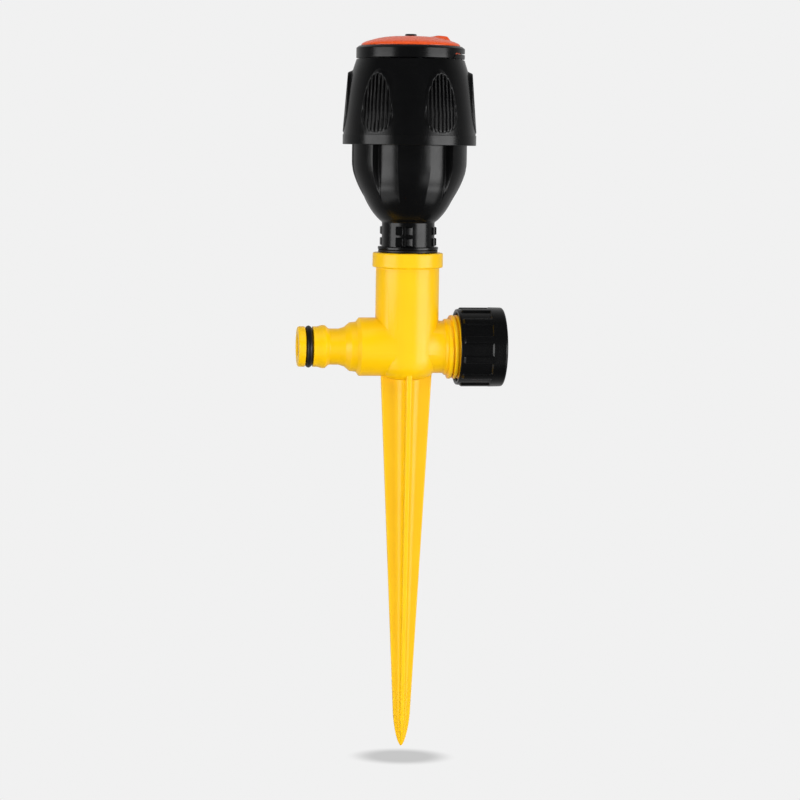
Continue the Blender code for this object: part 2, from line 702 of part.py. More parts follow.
def make_turbine():
    hub = ring("turbine_hub", SHAFT_R + SHAFT_FIT, TURBINE_HUB_R, *TURBINE_Z, STEPS_SMALL)
    middle = sum(TURBINE_Z) / 2
    for index in range(TURBINE_BLADES):
        blade = box("blade", (10.6, 0.9, 4.4), (0.0, 0.0, 0.0))
        lean = Matrix.Rotation(math.radians(35.0), 4, "X")
        place = Matrix.Translation((7.9 * MM, 0.0, middle * MM))
        turn = Matrix.Rotation(2 * math.pi * index / TURBINE_BLADES, 4, "Z")
        blade.matrix_world = turn @ place @ lean
        join(hub, blade)
    finish(hub, "turbine", WHITE)
    finish(rod("shaft", SHAFT_R, STATOR_Z[0] + 0.9, LEVEL_ONE_Z[1] + 0.4, 12), "turbine_shaft",
           STEEL)
    finish(ring("bush", SHAFT_R + 0.3, 2.5, CASE_Z[0] - 0.1, CASE_Z[0] + CASE_FLOOR + 0.1, 12),
           "shaft_bush", BRASS)


def make_gear_case():
    case = turned("case", [
        (CASE_R, CASE_Z[1]), (CASE_R, CASE_Z[0]), (2.8, CASE_Z[0]), (2.8, CASE_Z[0] + CASE_FLOOR),
        (CASE_R - CASE_WALL, CASE_Z[0] + CASE_FLOOR), (CASE_R - CASE_WALL, CASE_Z[1]),
    ])
    for azimuth in (PIN_A_AZ, PIN_B_AZ):
        hole = rod("pin_hole", PIN_R + GAP, CASE_Z[0] - 1.0, CASE_Z[0] + CASE_FLOOR + 1.0, 12)
        hole.location = pin_centre(azimuth) * MM
        cut(case, hole)
    finish(case, "gear_case", GREY)

    outlines = [circle(CARTRIDGE_R, STEPS_FINE), circle(3.0, 12)]
    for index in range(4):
        outlines.append(arc_window(16.9, 20.0, 45.0 + 90.0 * index, 66.0))
    finish(plate("spider", outlines, *CARTRIDGE_SPIDER_Z), "gear_case_cover", GREY)


def make_stator():
    low, high = STATOR_Z
    floor = low + 1.4
    seat = low + 0.6
    stator = turned_solid("stator", [
        (0.0, seat), (SHAFT_R + GAP, seat), (SHAFT_R + GAP, low + 2.2), (3.0, low + 2.2),
        (3.0, floor), (STATOR_R - CASE_WALL, floor), (STATOR_R - CASE_WALL, high),
        (STATOR_R, high), (STATOR_R, floor), (18.4, floor), (18.4, low), (0.0, low),
    ], STEPS_COARSE)
    for index in range(STATOR_PORTS):
        port = box("swirl_port", (4.4, 1.8, 8.0), (0.0, 0.0, 0.0))
        lean = Matrix.Rotation(math.radians(-40.0), 4, "X")
        place = Matrix.Translation((10.6 * MM, 0.0, (low + 0.7) * MM))
        turn = Matrix.Rotation(2 * math.pi * index / STATOR_PORTS, 4, "Z")
        port.matrix_world = turn @ place @ lean
        cut(stator, port)
    for azimuth in (45.0, 135.0):
        cut(stator, box("outflow_window", (40.0, 8.0, 3.4), (0.0, 0.0, 87.6), azimuth))
    finish(stator, "stator_cup", GREY)


def make_riser_housing():
    housing = turned("housing", [
        (11.7, 131.0), (11.7, 122.6), (14.8, 119.4), (21.3, 113.2), (21.3, 111.9),
        (CARTRIDGE_R, 111.9), (CARTRIDGE_R, HOUSING_LOW_Z), (20.4, HOUSING_LOW_Z), (20.4, 111.5),
        (12.9, 118.4), (12.9, 120.8), (9.3, 120.8), (9.3, 126.0), (10.7, 126.0), (10.7, 128.4),
        (9.3, 128.4), (9.3, 131.0),
    ], STEPS_COARSE)
    finish(housing, "riser_housing", GREY)
    finish(ring("seal", 9.25, 10.4, 126.25, 128.15, STEPS_COARSE), "riser_seal", RUBBER)
    finish(ring("washer", 9.3, 12.4, 119.7, 120.5, STEPS_COARSE), "thrust_washer", WHITE)


# Turret: riser tube, nozzle, body, cap and screw.

def make_riser_tube():
    riser = turned("riser", [
        (RISER_OUTER_R, 133.6), (RISER_OUTER_R, 119.4), (12.2, 119.4), (12.2, 117.4),
        (RISER_INNER_R, 117.4), (RISER_INNER_R, 133.6),
    ], 24)
    hub = rod("drive_hub", 4.4, 117.4, 119.4, 16)
    arms = [box("drive_arm", (7.0, 1.6, 1.6), (5.4, 0.0, 118.4), 120.0 * index)
            for index in range(3)]
    join(riser, hub, *arms)
    cut(riser, box("drive_square", (4.3, 4.3, 4.0), (0.0, 0.0, 118.4)))
    finish(riser, "riser_tube", GREY)


def curved_bar(name, inner_r, outer_r, low, high, sweep, steps):
    """A bar bent about the axis, centred on the nozzle's azimuth; sweep is its plan angle."""
    bar = add_object(name, profile_mesh(name, [
        (outer_r, high), (outer_r, low), (inner_r, low), (inner_r, high),
    ], closed=True))
    screw(bar, steps, angle=sweep)
    bar = as_mesh(bar)
    bar.matrix_world = Matrix.Rotation(plan_angle(NOZZLE_AZ - sweep / 2), 4, "Z")
    return bar


def make_turret_body():
    turret = turned("turret", [
        (TURRET_R - 0.6, TURRET_TOP_Z), (TURRET_R, TURRET_TOP_Z - 0.6), (TURRET_R, TURRET_LOW_Z),
        (9.3, TURRET_LOW_Z), (9.3, 133.8), (10.8, 133.8), (10.8, 133.1), (TURRET_WALL_R, 133.1),
        (TURRET_WALL_R, TURRET_TOP_Z),
    ], STEPS_FINE)
    cut(turret, curved_bar("slit", TURRET_WALL_R - 1.0, TURRET_R + 2.0, *SLIT_Z, SLIT_ARC, 8))
    finish(turret, "turret_body", BLACK)


def make_nozzle():
    nozzle = rod("nozzle_stem", 6.6, 130.0, 136.2, 20)
    arm = box("nozzle_arm", (14.2, 9.0, 2.2), (12.8, 0.0, 135.1), NOZZLE_AZ)
    band = curved_bar("nozzle_band", *BAND_R, *BAND_Z, BAND_ARC, 10)
    join(nozzle, arm, band, rod("nozzle_boss", 3.4, 135.8, 139.0, 16))
    passage = rod("nozzle_bore", 5.4, 129.0, 134.6, 20)
    outlet = box("nozzle_slot", (20.0, 6.4, 1.0), (12.0, 0.0, 134.5), NOZZLE_AZ)
    cut(nozzle, passage, outlet, rod("screw_hole", 1.8, 135.4, 140.0, 12))
    finish(nozzle, "spray_nozzle", ORANGE)


def make_turret_cap():
    cap = turned("dome", [
        (2.0, DOME_TOP_Z), (8.0, 140.9), (13.0, 140.2), (18.0, 138.8), (DOME_EDGE_R, 137.4),
        (DOME_EDGE_R, 136.6), (19.6, 136.6), (17.4, 137.5), (12.6, 138.8), (8.0, 139.4),
        (2.0, 139.6),
    ], STEPS_FINE)
    hood = box("nozzle_hood", (7.2, 8.4, 3.4), (12.3, 0.0, 139.9), NOZZLE_AZ)
    join(cap, hood)
    finish(cap, "turret_cap", ORANGE)
    screw_body = turned_solid("screw", [
        (0.0, 142.0), (2.0, 142.0), (2.6, 141.6), (2.6, DOME_TOP_Z + GAP),
        (1.4, DOME_TOP_Z + GAP), (1.4, 136.6), (0.0, 136.2),
    ])
    cut(screw_body, box("slot_one", (3.0, 0.6, 0.8), (0.0, 0.0, 142.0), 20.0),
        box("slot_two", (3.0, 0.6, 0.8), (0.0, 0.0, 142.0), 110.0))
    finish(screw_body, "cap_screw", BLACK)


make_spike_body()
make_nipple_ring()
make_outlet_cap()
make_head_bowl()
make_inlet_filter()
make_collar()
make_gasket()
make_gear_train()
make_turbine()
make_gear_case()
make_stator()
make_riser_housing()
make_riser_tube()
make_turret_body()
make_nozzle()
make_turret_cap()
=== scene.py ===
"""Looks of the spiked garden sprinkler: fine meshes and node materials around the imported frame.

Lengths are in millimetres and angles in degrees; MM turns lengths into metres. The outer heights and
reaches are read from the frame's nodes. An azimuth is counted in plan from the front, -Y, towards +X.
The stage is in metres: its shadow, lights and camera.
"""
import math

import bmesh
import bpy
import numpy as np
from mathutils import Matrix, Vector


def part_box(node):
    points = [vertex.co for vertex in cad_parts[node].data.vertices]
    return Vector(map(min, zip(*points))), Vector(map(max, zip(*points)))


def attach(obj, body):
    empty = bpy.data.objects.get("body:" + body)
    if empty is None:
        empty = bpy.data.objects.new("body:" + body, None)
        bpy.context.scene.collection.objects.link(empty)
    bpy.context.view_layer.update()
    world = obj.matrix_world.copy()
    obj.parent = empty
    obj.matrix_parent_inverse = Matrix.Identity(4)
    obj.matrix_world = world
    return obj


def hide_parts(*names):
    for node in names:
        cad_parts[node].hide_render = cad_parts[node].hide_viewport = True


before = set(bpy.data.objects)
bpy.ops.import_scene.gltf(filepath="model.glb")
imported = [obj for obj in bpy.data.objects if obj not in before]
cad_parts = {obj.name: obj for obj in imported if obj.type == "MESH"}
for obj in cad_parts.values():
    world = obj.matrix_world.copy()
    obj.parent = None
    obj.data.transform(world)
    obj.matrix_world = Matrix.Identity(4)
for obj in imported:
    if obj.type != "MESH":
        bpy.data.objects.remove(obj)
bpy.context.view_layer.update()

MM = 0.001
X, Y, Z = 0, 1, 2
FULL_TURN = 360.0


def low(node, axis):
    """Lowest coordinate of a CAD node along an axis."""
    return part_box(node)[0][axis] / MM


def high(node, axis):
    """Highest coordinate of a CAD node along an axis."""
    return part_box(node)[1][axis] / MM


# Ground spike, tee and hose fittings.
TIP_Z = low("spike_body", Z)
SOCKET_TOP_Z = high("spike_body", Z)
SOCKET_RIM_R = high("spike_body", Y)
SOCKET_R = SOCKET_RIM_R - 1.45
SOCKET_RIM_Z = SOCKET_TOP_Z - 6.0
SOCKET_FOOT_Z = SOCKET_TOP_Z - 43.7
SOCKET_DOME = 9.9
SOCKET_BORE_R = 10.9
UPRIGHT_BORE_R = 7.0
TEE_AXIS_Z = (low("outlet_cap", Z) + high("outlet_cap", Z)) / 2
BARREL_R = 12.25
NIPPLE_TIP_X = low("spike_body", X)
NIPPLE_LIP_R = 8.45
NIPPLE_RIDGE_R = 9.0
NIPPLE_NECK_R = 7.55
NIPPLE_BORE_R = 4.3
RING_LOW_X = low("nipple_o_ring", X)
RING_HIGH_X = high("nipple_o_ring", X)
RING_R = 8.75
RING_GROOVE_R = 5.8
OUTLET_END_X = high("spike_body", X)
OUTLET_CORE_R = 11.8
OUTLET_BORE_R = 9.2
OUTLET_PITCH = 2.209
OUTLET_THREAD_X = 16.75
OUTLET_THREAD_DEPTH = 1.6
STAKE_TOP_Z = 3.0
STAKE_TOP_REACH = 10.9
STAKE_TOP_RIB = 2.4
STAKE_LOW_Z = TIP_Z + 15.6
STAKE_LOW_REACH = 3.7
STAKE_LOW_RIB = 1.9
CAP_OPEN_X = low("outlet_cap", X)
CAP_END_X = high("outlet_cap", X)
CAP_BAND_R = 16.7
CAP_ROOT_R = 15.95
CAP_BAND_X = 34.8
CAP_BORE_R = 13.9
CAP_FLOOR_X = 37.8
CAP_RIB_SPACING = FULL_TURN / 12

# Rotary head.
HEAD_TURN = -8.0
STEM_LOW_Z = low("head_bowl", Z)
BOWL_TOP_Z = high("head_bowl", Z)
COLLAR_LOW_Z = low("collar", Z)
COLLAR_TOP_Z = high("collar", Z)
COLLAR_R = high("collar", Y)
COLLAR_BAND_Z = COLLAR_LOW_Z + 4.1
BLOCK_R = COLLAR_R - 3.6
RECESS_R = BLOCK_R - 3.1
RECESS_BLEND = 2.4
RECESS_LOW_Z = 71.0
RECESS_FULL_Z = 80.0
BLOCKS = 6
BLOCK_SPACING = FULL_TURN / BLOCKS
BLOCK_ARC = 34.6
BLOCK_AZ = 5.0
FLANGE_Z = high("socket_gasket", Z) + 0.2
NECK_R = 11.0
STEM_R = 9.5
STEM_PITCH = 1.814
LUG_GROUPS = 4
LUG_AZ = -9.0
LUG_GAP = 5.6
LUG_ARC = 15.0
LUG_RISE = 0.52
LUG_SLOPE = 0.052
LUG_ROWS_Z = (54.55, 59.15)
LUG_HEIGHT = 3.2
LUG_EDGE = 0.3
MOUTH_R = 22.9
COLLAR_BORE_R = 24.5
COLLAR_PITCH = 3.0
PADS = 6
PAD_SPACING = FULL_TURN / PADS
PAD_AZ = -31.0
PAD_HALF_ARC = 16.6
PAD_WIDEST_Z = COLLAR_LOW_Z + 11.8
PAD_UP = 18.9
PAD_DOWN = 6.9
PAD_PITCH = 3.8
PAD_LOW_Z = 104.0
PAD_LOW_R = 27.6
PAD_LEAN = 0.0787
TURRET_LOW_Z = low("turret_body", Z)
TURRET_TOP_Z = high("turret_body", Z)
TURRET_R = high("turret_body", Y)
TURRET_WALL_R = 20.9
DOME_LOW_Z = low("turret_cap", Z)
DOME_TOP_Z = 141.0
DOME_R = high("turret_cap", Y)
SCREW_TOP_Z = high("cap_screw", Z)
NOZZLE_AZ = 90.0
SLIT_Z = 133.5
SLIT_HEIGHT = 0.6
SLIT_HALF_ARC = 51.0
SLIT_END_ARC = 10.0
SLIT_DIP = 2.6
BAND_HALF_ARC = 45.9
NOZZLE_TOP_Z = 136.2

SHARP_ANGLE = 55.0


# Shape helpers.

def ring_angles(step):
    """Angles round a full ring, evenly spaced."""
    return np.arange(0.0, FULL_TURN, step)


def plan_angle(azimuth):
    """Angle about +Z, from +X, of an azimuth."""
    return azimuth - 90.0


def offset_from(angles, centre, repeat=FULL_TURN):
    """Signed angle from the nearest of the centres spaced round the ring."""
    return (angles - centre + repeat / 2) % repeat - repeat / 2


def smooth(value, start, end):
    """0 before start, 1 after end and a smooth step between."""
    share = np.clip((value - start) / (end - start), 0.0, 1.0)
    return share * share * (3.0 - 2.0 * share)


def rounded(corners):
    """Profile points from (r, z, fillet) corners: each fillet becomes a curve of about that radius."""
    arc_step = 18.0
    points = []
    for index, (r, z, fillet) in enumerate(corners):
        corner = Vector((r, z))
        if fillet == 0.0 or index in (0, len(corners) - 1):
            points.append(corner)
            continue
        before = Vector(corners[index - 1][:2]) - corner
        after = Vector(corners[index + 1][:2]) - corner
        opening = before.angle(after)
        room = 0.49 * min(before.length, after.length)
        reach = min(fillet / math.tan(opening / 2), room)
        start = corner + before.normalized() * reach
        end = corner + after.normalized() * reach
        count = max(2, math.ceil((180.0 - math.degrees(opening)) / arc_step))
        for step in range(count + 1):
            share = step / count
            points.append(start.lerp(corner, share).lerp(corner.lerp(end, share), share))
    return [(point.x, point.y) for point in points]


def rounded_loop(corners):
    """The same for a closed section, whose first corner is a plain point on one of its sides."""
    return rounded([*corners, corners[0]])[:-1]


def flowing(points, count):
    """A smooth curve through (r, z) points, with count steps in each span."""
    padded = [points[0], *points, points[-1]]
    curve = []
    for a, b, c, d in zip(padded, padded[1:], padded[2:], padded[3:]):
        for step in range(count):
            t = step / count
            curve.append(tuple(
                0.5 * (2 * q + (r - p) * t + (2 * p - 5 * q + 4 * r - s) * t * t
                       + (3 * q - p - 3 * r + s) * t ** 3)
                for p, q, r, s in zip(a, b, c, d)))
    return curve + [points[-1]]


def finely(points, step):
    """The same profile with no two points further apart than step."""
    result = [points[0]]
    for start, end in zip(points, points[1:]):
        count = max(1, math.ceil(math.dist(start, end) / step))
        for index in range(1, count + 1):
            share = index / count
            result.append(tuple(a + (b - a) * share for a, b in zip(start, end)))
    return result


def add_object(name, data):
    """A new object in the scene from a mesh, a light or a camera."""
    obj = bpy.data.objects.new(name, data)
    bpy.context.scene.collection.objects.link(obj)
    return obj


def skin(name, rings, closed=False):
    """Closed surface over a stack of rings of points, where a ring of one point is a tip."""
    vertices = []
    starts = []
    for ring in rings:
        starts.append(len(vertices))
        vertices.extend(tuple(point * MM for point in row) for row in ring)
    pairs = list(zip(range(len(rings)), range(1, len(rings))))
    if closed:
        pairs.append((len(rings) - 1, 0))
    faces = []
    for a, b in pairs:
        count = max(len(rings[a]), len(rings[b]))
        for index in range(count):
            after = (index + 1) % count
            face = [starts[a] + index, starts[a] + after, starts[b] + after, starts[b] + index]
            if len(rings[a]) == 1:
                face = [starts[a], starts[b] + after, starts[b] + index]
            elif len(rings[b]) == 1:
                face = [starts[a] + index, starts[a] + after, starts[b]]
            faces.append(face)
    mesh = bpy.data.meshes.new(name)
    mesh.from_pydata(vertices, [], faces)
    shape = bmesh.new()
    shape.from_mesh(mesh)
    bmesh.ops.recalc_face_normals(shape, faces=shape.faces)
    shape.to_mesh(mesh)
    shape.free()
    return add_object(name, mesh)


def lathe(profile, angles, shape=None):
    """Rings for skin() from (r, z) points; shape may move the radii and heights of each ring."""
    around = np.array(angles, float)
    cosines = np.cos(np.radians(around))
    sines = np.sin(np.radians(around))
    rings = []
    for r, z in profile:
        if r == 0.0:
            rings.append([(0.0, 0.0, z)])
            continue
        radii = np.full(len(around), float(r))
        heights = np.full(len(around), float(z))
        if shape:
            radii, heights = shape(radii, heights, around)
        rings.append(np.stack([radii * cosines, radii * sines, heights], axis=1))
    return rings


def turned(name, profile, step=3.0, closed=False):
    """A plain piece turned about Z."""
    return skin(name, lathe(profile, ring_angles(step)), closed)


def section_at(section, angle):
    """Ring of an (r, z) section, turned about Z to an angle in radians."""
    return [(r * math.cos(angle), r * math.sin(angle), z) for r, z in section]


def swept(name, rings):
    """A bar through a row of sections, each end closed to the middle of its section."""
    first = tuple(np.mean(rings[0], axis=0))
    last = tuple(np.mean(rings[-1], axis=0))
    return skin(name, [[first], *rings, [last]])


def block(name, size, centre, bevel, azimuth):
    """A rounded block of full sizes (x, y, z), its x side turned to face azimuth."""
    mesh = bpy.data.meshes.new(name)
    shape = bmesh.new()
    bmesh.ops.create_cube(shape, size=1.0)
    bmesh.ops.scale(shape, vec=Vector(size) * MM, verts=shape.verts)
    bmesh.ops.bevel(shape, geom=shape.edges[:], offset=bevel * MM, segments=3, profile=0.5,
                    affect="EDGES", clamp_overlap=True)
    turn = Matrix.Rotation(math.radians(plan_angle(azimuth)), 4, "Z")
    place = turn @ Matrix.Translation(Vector(centre) * MM)
    bmesh.ops.transform(shape, matrix=place, verts=shape.verts)
    shape.to_mesh(mesh)
    shape.free()
    return add_object(name, mesh)


def along_x(obj):
    """Lay a piece turned about Z along the tee's axis, so that its +Z becomes +X."""
    shift = Matrix.Translation((0.0, 0.0, TEE_AXIS_Z * MM))
    obj.data.transform(shift @ Matrix.Rotation(math.radians(90.0), 4, "Y"))
    return obj


def combine(target, operation, *tools):
    """Join tools to a piece or cut them from it, and keep the plain result."""
    for tool in tools:
        modifier = target.modifiers.new(operation, "BOOLEAN")
        modifier.operation = operation
        modifier.solver = "MANIFOLD"
        modifier.object = tool
    bpy.context.view_layer.update()
    evaluated = target.evaluated_get(bpy.context.evaluated_depsgraph_get())
    mesh = bpy.data.meshes.new_from_object(evaluated)
    target.modifiers.clear()
    target.data = mesh
    for tool in tools:
        bpy.data.objects.remove(tool, do_unlink=True)
    return target


def dress(obj, material, slot, body, *nodes):
    """Shade a finished piece, give it its material and tie it to the frame."""
    obj.data.materials.clear()
    obj.data.materials.append(material)
    obj.data.shade_smooth()
    obj.data.set_sharp_from_angle(angle=math.radians(SHARP_ANGLE))
    weighted = obj.modifiers.new("Weighted", "WEIGHTED_NORMAL")
    weighted.keep_sharp = True
    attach(obj, body)
    if nodes:
        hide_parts(*nodes)
    return obj


def thread(pitch, start, turns, depth, lead_angle=0.0):
    """A shape for lathe(): a right-handed screw thread that fades in and out."""
    crest = 0.13
    flank = 0.42
    lead_in = 0.18
    run_out = 0.25

    def shape(radii, heights, angles):
        around = (angles - lead_angle) % FULL_TURN / FULL_TURN
        phase = (heights - start) / pitch - around
        nearest = np.round(phase)
        away = np.abs(phase - nearest)
        along = nearest + around
        ridge = 1.0 - smooth(away, crest, flank)
        fade = smooth(along, 0.0, lead_in) * (1.0 - smooth(along, turns - run_out, turns))
        return radii + depth * ridge * fade, heights

    return shape


# Materials: every finish comes from nodes in object space.

def material_nodes(name):
    """A new node material, its tree and its shader."""
    material = bpy.data.materials.new(name)
    material.use_nodes = True
    tree = material.node_tree
    return material, tree, tree.nodes["Principled BSDF"]


def noise(tree, scale, detail, stretch=(1.0, 1.0, 1.0)):
    """Noise in object space; scale is in features per metre."""
    coordinates = tree.nodes.new("ShaderNodeTexCoord")
    mapping = tree.nodes.new("ShaderNodeMapping")
    mapping.inputs["Scale"].default_value = stretch
    texture = tree.nodes.new("ShaderNodeTexNoise")
    texture.inputs["Scale"].default_value = scale
    texture.inputs["Detail"].default_value = detail
    tree.links.new(coordinates.outputs["Object"], mapping.inputs["Vector"])
    tree.links.new(mapping.outputs["Vector"], texture.inputs["Vector"])
    return texture.outputs["Fac"]


def ramp(tree, factor, stops):
    """A colour ramp over a factor; stops are (position, colour)."""
    node = tree.nodes.new("ShaderNodeValToRGB")
    elements = node.color_ramp.elements
    while len(elements) < len(stops):
        elements.new(0.5)
    for element, (position, colour) in zip(elements, stops):
        element.position = position
        element.color = (*colour, 1.0)
    tree.links.new(factor, node.inputs["Fac"])
    return node.outputs["Color"]


def spread(tree, factor, lowest, highest):
    """Map a noise factor onto a range of values."""
    node = tree.nodes.new("ShaderNodeMapRange")
    node.inputs["From Min"].default_value = 0.3
    node.inputs["From Max"].default_value = 0.7
    node.inputs["To Min"].default_value = lowest
    node.inputs["To Max"].default_value = highest
    tree.links.new(factor, node.inputs["Value"])
    return node.outputs["Result"]


def bump(tree, height, distance, below=None):
    """A bump of a height in metres, on top of a coarser one."""
    node = tree.nodes.new("ShaderNodeBump")
    node.inputs["Distance"].default_value = distance
    tree.links.new(height, node.inputs["Height"])
    if below:
        tree.links.new(below, node.inputs["Normal"])
    return node.outputs["Normal"]


def moulded(name, colours, roughness, grain, grain_depth, wave_depth=0.00003, specular=0.5):
    """Moulded plastic: drifting pigment, uneven gloss, a slow surface wave and a fine grain."""
    material, tree, shader = material_nodes(name)
    pigment = noise(tree, 45.0, 4.0)
    colour = ramp(tree, pigment, [(0.3, colours[0]), (0.7, colours[1])])
    tree.links.new(colour, shader.inputs["Base Color"])
    gloss = noise(tree, 260.0, 5.0)
    tree.links.new(spread(tree, gloss, *roughness), shader.inputs["Roughness"])
    wave = bump(tree, noise(tree, 90.0, 1.0), wave_depth)
    tree.links.new(bump(tree, noise(tree, grain, 2.0), grain_depth, wave), shader.inputs["Normal"])
    shader.inputs["Specular IOR Level"].default_value = specular
    return material


def turned_metal(name, colours, roughness, axis_stretch):
    """Metal with fine tool marks round its axis."""
    material, tree, shader = material_nodes(name)
    marks = noise(tree, 1500.0, 3.0, axis_stretch)
    tint = ramp(tree, noise(tree, 200.0, 3.0), [(0.3, colours[0]), (0.7, colours[1])])
    tree.links.new(tint, shader.inputs["Base Color"])
    tree.links.new(spread(tree, marks, *roughness), shader.inputs["Roughness"])
    tree.links.new(bump(tree, marks, 0.000004), shader.inputs["Normal"])
    shader.inputs["Metallic"].default_value = 1.0
    return material


YELLOW = moulded("yellow_plastic", ((0.95, 0.545, 0.002), (0.98, 0.585, 0.003)), (0.28, 0.36),
                 1800.0, 0.000004, specular=0.3)
BLACK = moulded("black_plastic", ((0.0028, 0.0029, 0.0031), (0.0038, 0.0039, 0.0041)), (0.20, 0.27),
                2600.0, 0.000006, specular=0.28)
ORANGE = moulded("orange_plastic", ((0.80, 0.080, 0.007), (0.86, 0.095, 0.010)), (0.24, 0.32),
                 1600.0, 0.000003, wave_depth=0.00001)
GREY = moulded("grey_plastic", ((0.20, 0.21, 0.22), (0.26, 0.27, 0.28)), (0.42, 0.52),
               2200.0, 0.000006)
WHITE = moulded("white_acetal", ((0.78, 0.77, 0.72), (0.83, 0.82, 0.78)), (0.30, 0.42),
                1500.0, 0.000004)
RUBBER = moulded("black_rubber", ((0.005, 0.005, 0.005), (0.008, 0.008, 0.0075)), (0.36, 0.48),
                 3200.0, 0.00001, specular=0.35)
STEEL = turned_metal("stainless_steel", ((0.52, 0.52, 0.54), (0.60, 0.60, 0.62)), (0.18, 0.32),
                     (1.0, 1.0, 0.05))
BRASS = turned_metal("brass", ((0.66, 0.44, 0.17), (0.74, 0.52, 0.22)), (0.22, 0.36),
                     (0.1, 0.1, 1.0))


# Ground spike with its tee.

def arc_points(x, y, radius, start, end, count):
    """Points of an arc about (x, y), with count steps."""
    angles = np.radians(np.linspace(start, end, count + 1))
    return [(x + radius * math.cos(a), y + radius * math.sin(a)) for a in angles]


def stake_ring(z, reach, rib):
    """Cross section of the stake: four ribs with rounded tips and hollow flanks between them."""
    tip = 0.32 * rib
    hollow = (reach - rib / 2) * 0.5
    middle = rib / 2 + hollow
    quarter = (arc_points(reach - tip, rib / 2 - tip, tip, 0, 90, 4)
               + arc_points(middle, middle, hollow, 270, 180, 8)
               + arc_points(rib / 2 - tip, reach - tip, tip, 0, 90, 4))
    ring = []
    for cosine, sine in ((1, 0), (0, 1), (-1, 0), (0, -1)):
        ring.extend((x * cosine - y * sine, x * sine + y * cosine, z) for x, y in quarter)
    return ring


def make_stake():
    """The stake: a long straight taper that ends in a rounded point."""
    rings = [[(0.0, 0.0, STAKE_TOP_Z)]]
    taper_steps = 12
    for step in range(taper_steps + 1):
        share = step / taper_steps
        z = STAKE_TOP_Z + (STAKE_LOW_Z - STAKE_TOP_Z) * share
        reach = STAKE_TOP_REACH + (STAKE_LOW_REACH - STAKE_TOP_REACH) * share
        rib = STAKE_TOP_RIB + (STAKE_LOW_RIB - STAKE_TOP_RIB) * share
        rings.append(stake_ring(z, reach, rib))
    point_steps = 14
    for step in range(1, point_steps):
        share = math.sin(math.radians(90.0 * step / point_steps))
        scale = (1.0 - share ** 1.5) ** 0.6
        z = STAKE_LOW_Z + (TIP_Z - STAKE_LOW_Z) * share
        rings.append(stake_ring(z, STAKE_LOW_REACH * scale, STAKE_LOW_RIB * scale))
    rings.append([(0.0, 0.0, TIP_Z)])
    return skin("stake", rings)


def socket_profile():
    """The tee's upright: a rimmed tube with a domed foot."""
    tube = rounded([
        (0.0, SOCKET_TOP_Z, 0.0), (SOCKET_RIM_R, SOCKET_TOP_Z, 0.7),
        (SOCKET_RIM_R, SOCKET_RIM_Z, 0.5), (SOCKET_R, SOCKET_RIM_Z - 0.3, 0.5),
        (SOCKET_R, SOCKET_FOOT_Z, 0.0),
    ])
    power = 2.6
    steps = 14
    for step in range(1, steps):
        drop = math.sin(math.radians(90.0 * step / steps))
        tube.append((SOCKET_R * (1.0 - drop ** power) ** (1.0 / power),
                     SOCKET_FOOT_Z - SOCKET_DOME * drop))
    return tube + [(0.0, SOCKET_FOOT_Z - SOCKET_DOME)]


def make_barrel():
    """The tee's level branch, from the threaded outlet's end to the hose nipple's tip."""
    profile = rounded([
        (0.0, OUTLET_END_X, 0.0), (OUTLET_CORE_R, OUTLET_END_X, 0.4), (OUTLET_CORE_R, 16.0, 0.3),
        (11.0, 15.2, 0.3), (11.0, 4.0, 0.0), (BARREL_R, 3.0, 0.0), (BARREL_R, -20.2, 0.4),
        (10.5, -21.5, 0.5), (10.2, -24.2, 0.9), (8.3, -26.4, 0.8), (NIPPLE_NECK_R, -28.8, 1.4),
        (NIPPLE_NECK_R, -32.9, 0.9), (NIPPLE_RIDGE_R, -34.6, 0.5), (NIPPLE_RIDGE_R, -35.9, 0.5),
        (NIPPLE_LIP_R, -37.8, 0.8), (NIPPLE_LIP_R, RING_HIGH_X + 0.35, 0.25),
        (RING_GROOVE_R, RING_HIGH_X + 0.3, 0.2), (RING_GROOVE_R, RING_LOW_X - 0.3, 0.2),
        (NIPPLE_LIP_R, RING_LOW_X - 0.35, 0.25), (NIPPLE_LIP_R, NIPPLE_TIP_X, 1.0),
        (0.0, NIPPLE_TIP_X, 0.0),
    ])
    return along_x(turned("barrel", profile, 2.0))


def make_outlet_thread():
    """One coil along the outlet: wide rounded crests that leave narrow grooves."""
    section = ((0.0, -1.02), (0.2, -0.98), (0.72, -0.78), (0.93, -0.64), (1.0, -0.4),
               (1.0, 0.4), (0.93, 0.64), (0.72, 0.78), (0.2, 0.98), (0.0, 1.02))
    sunk = 0.4
    lead_in = 0.3
    end_land = 1.6
    root = OUTLET_CORE_R - sunk
    turns = (OUTLET_END_X - end_land - OUTLET_THREAD_X) / OUTLET_PITCH
    rings = []
    for turn in np.arange(0.0, turns, 1.0 / 90.0):
        growth = smooth(turn, -0.02, lead_in) * (1.0 - smooth(turn, turns - lead_in, turns))
        depth = (OUTLET_THREAD_DEPTH + sunk) * growth
        x = OUTLET_THREAD_X + OUTLET_PITCH * turn
        ridge = [(root + rise * depth, x + along) for rise, along in section]
        rings.append(section_at(ridge, 2 * math.pi * turn + math.pi))
    return along_x(swept("outlet_thread", rings))


def make_upright_bore():
    """Room inside the socket, down to the tee's axis."""
    return turned("upright_bore", rounded([
        (0.0, SOCKET_TOP_Z + 1.0, 0.0), (12.2, SOCKET_TOP_Z + 1.0, 0.0),
        (SOCKET_BORE_R, SOCKET_TOP_Z - 0.8, 0.0), (SOCKET_BORE_R, 35.0, 0.5),
        (UPRIGHT_BORE_R, 33.0, 0.8), (UPRIGHT_BORE_R, TEE_AXIS_Z, 0.0), (0.0, TEE_AXIS_Z, 0.0),
    ]))


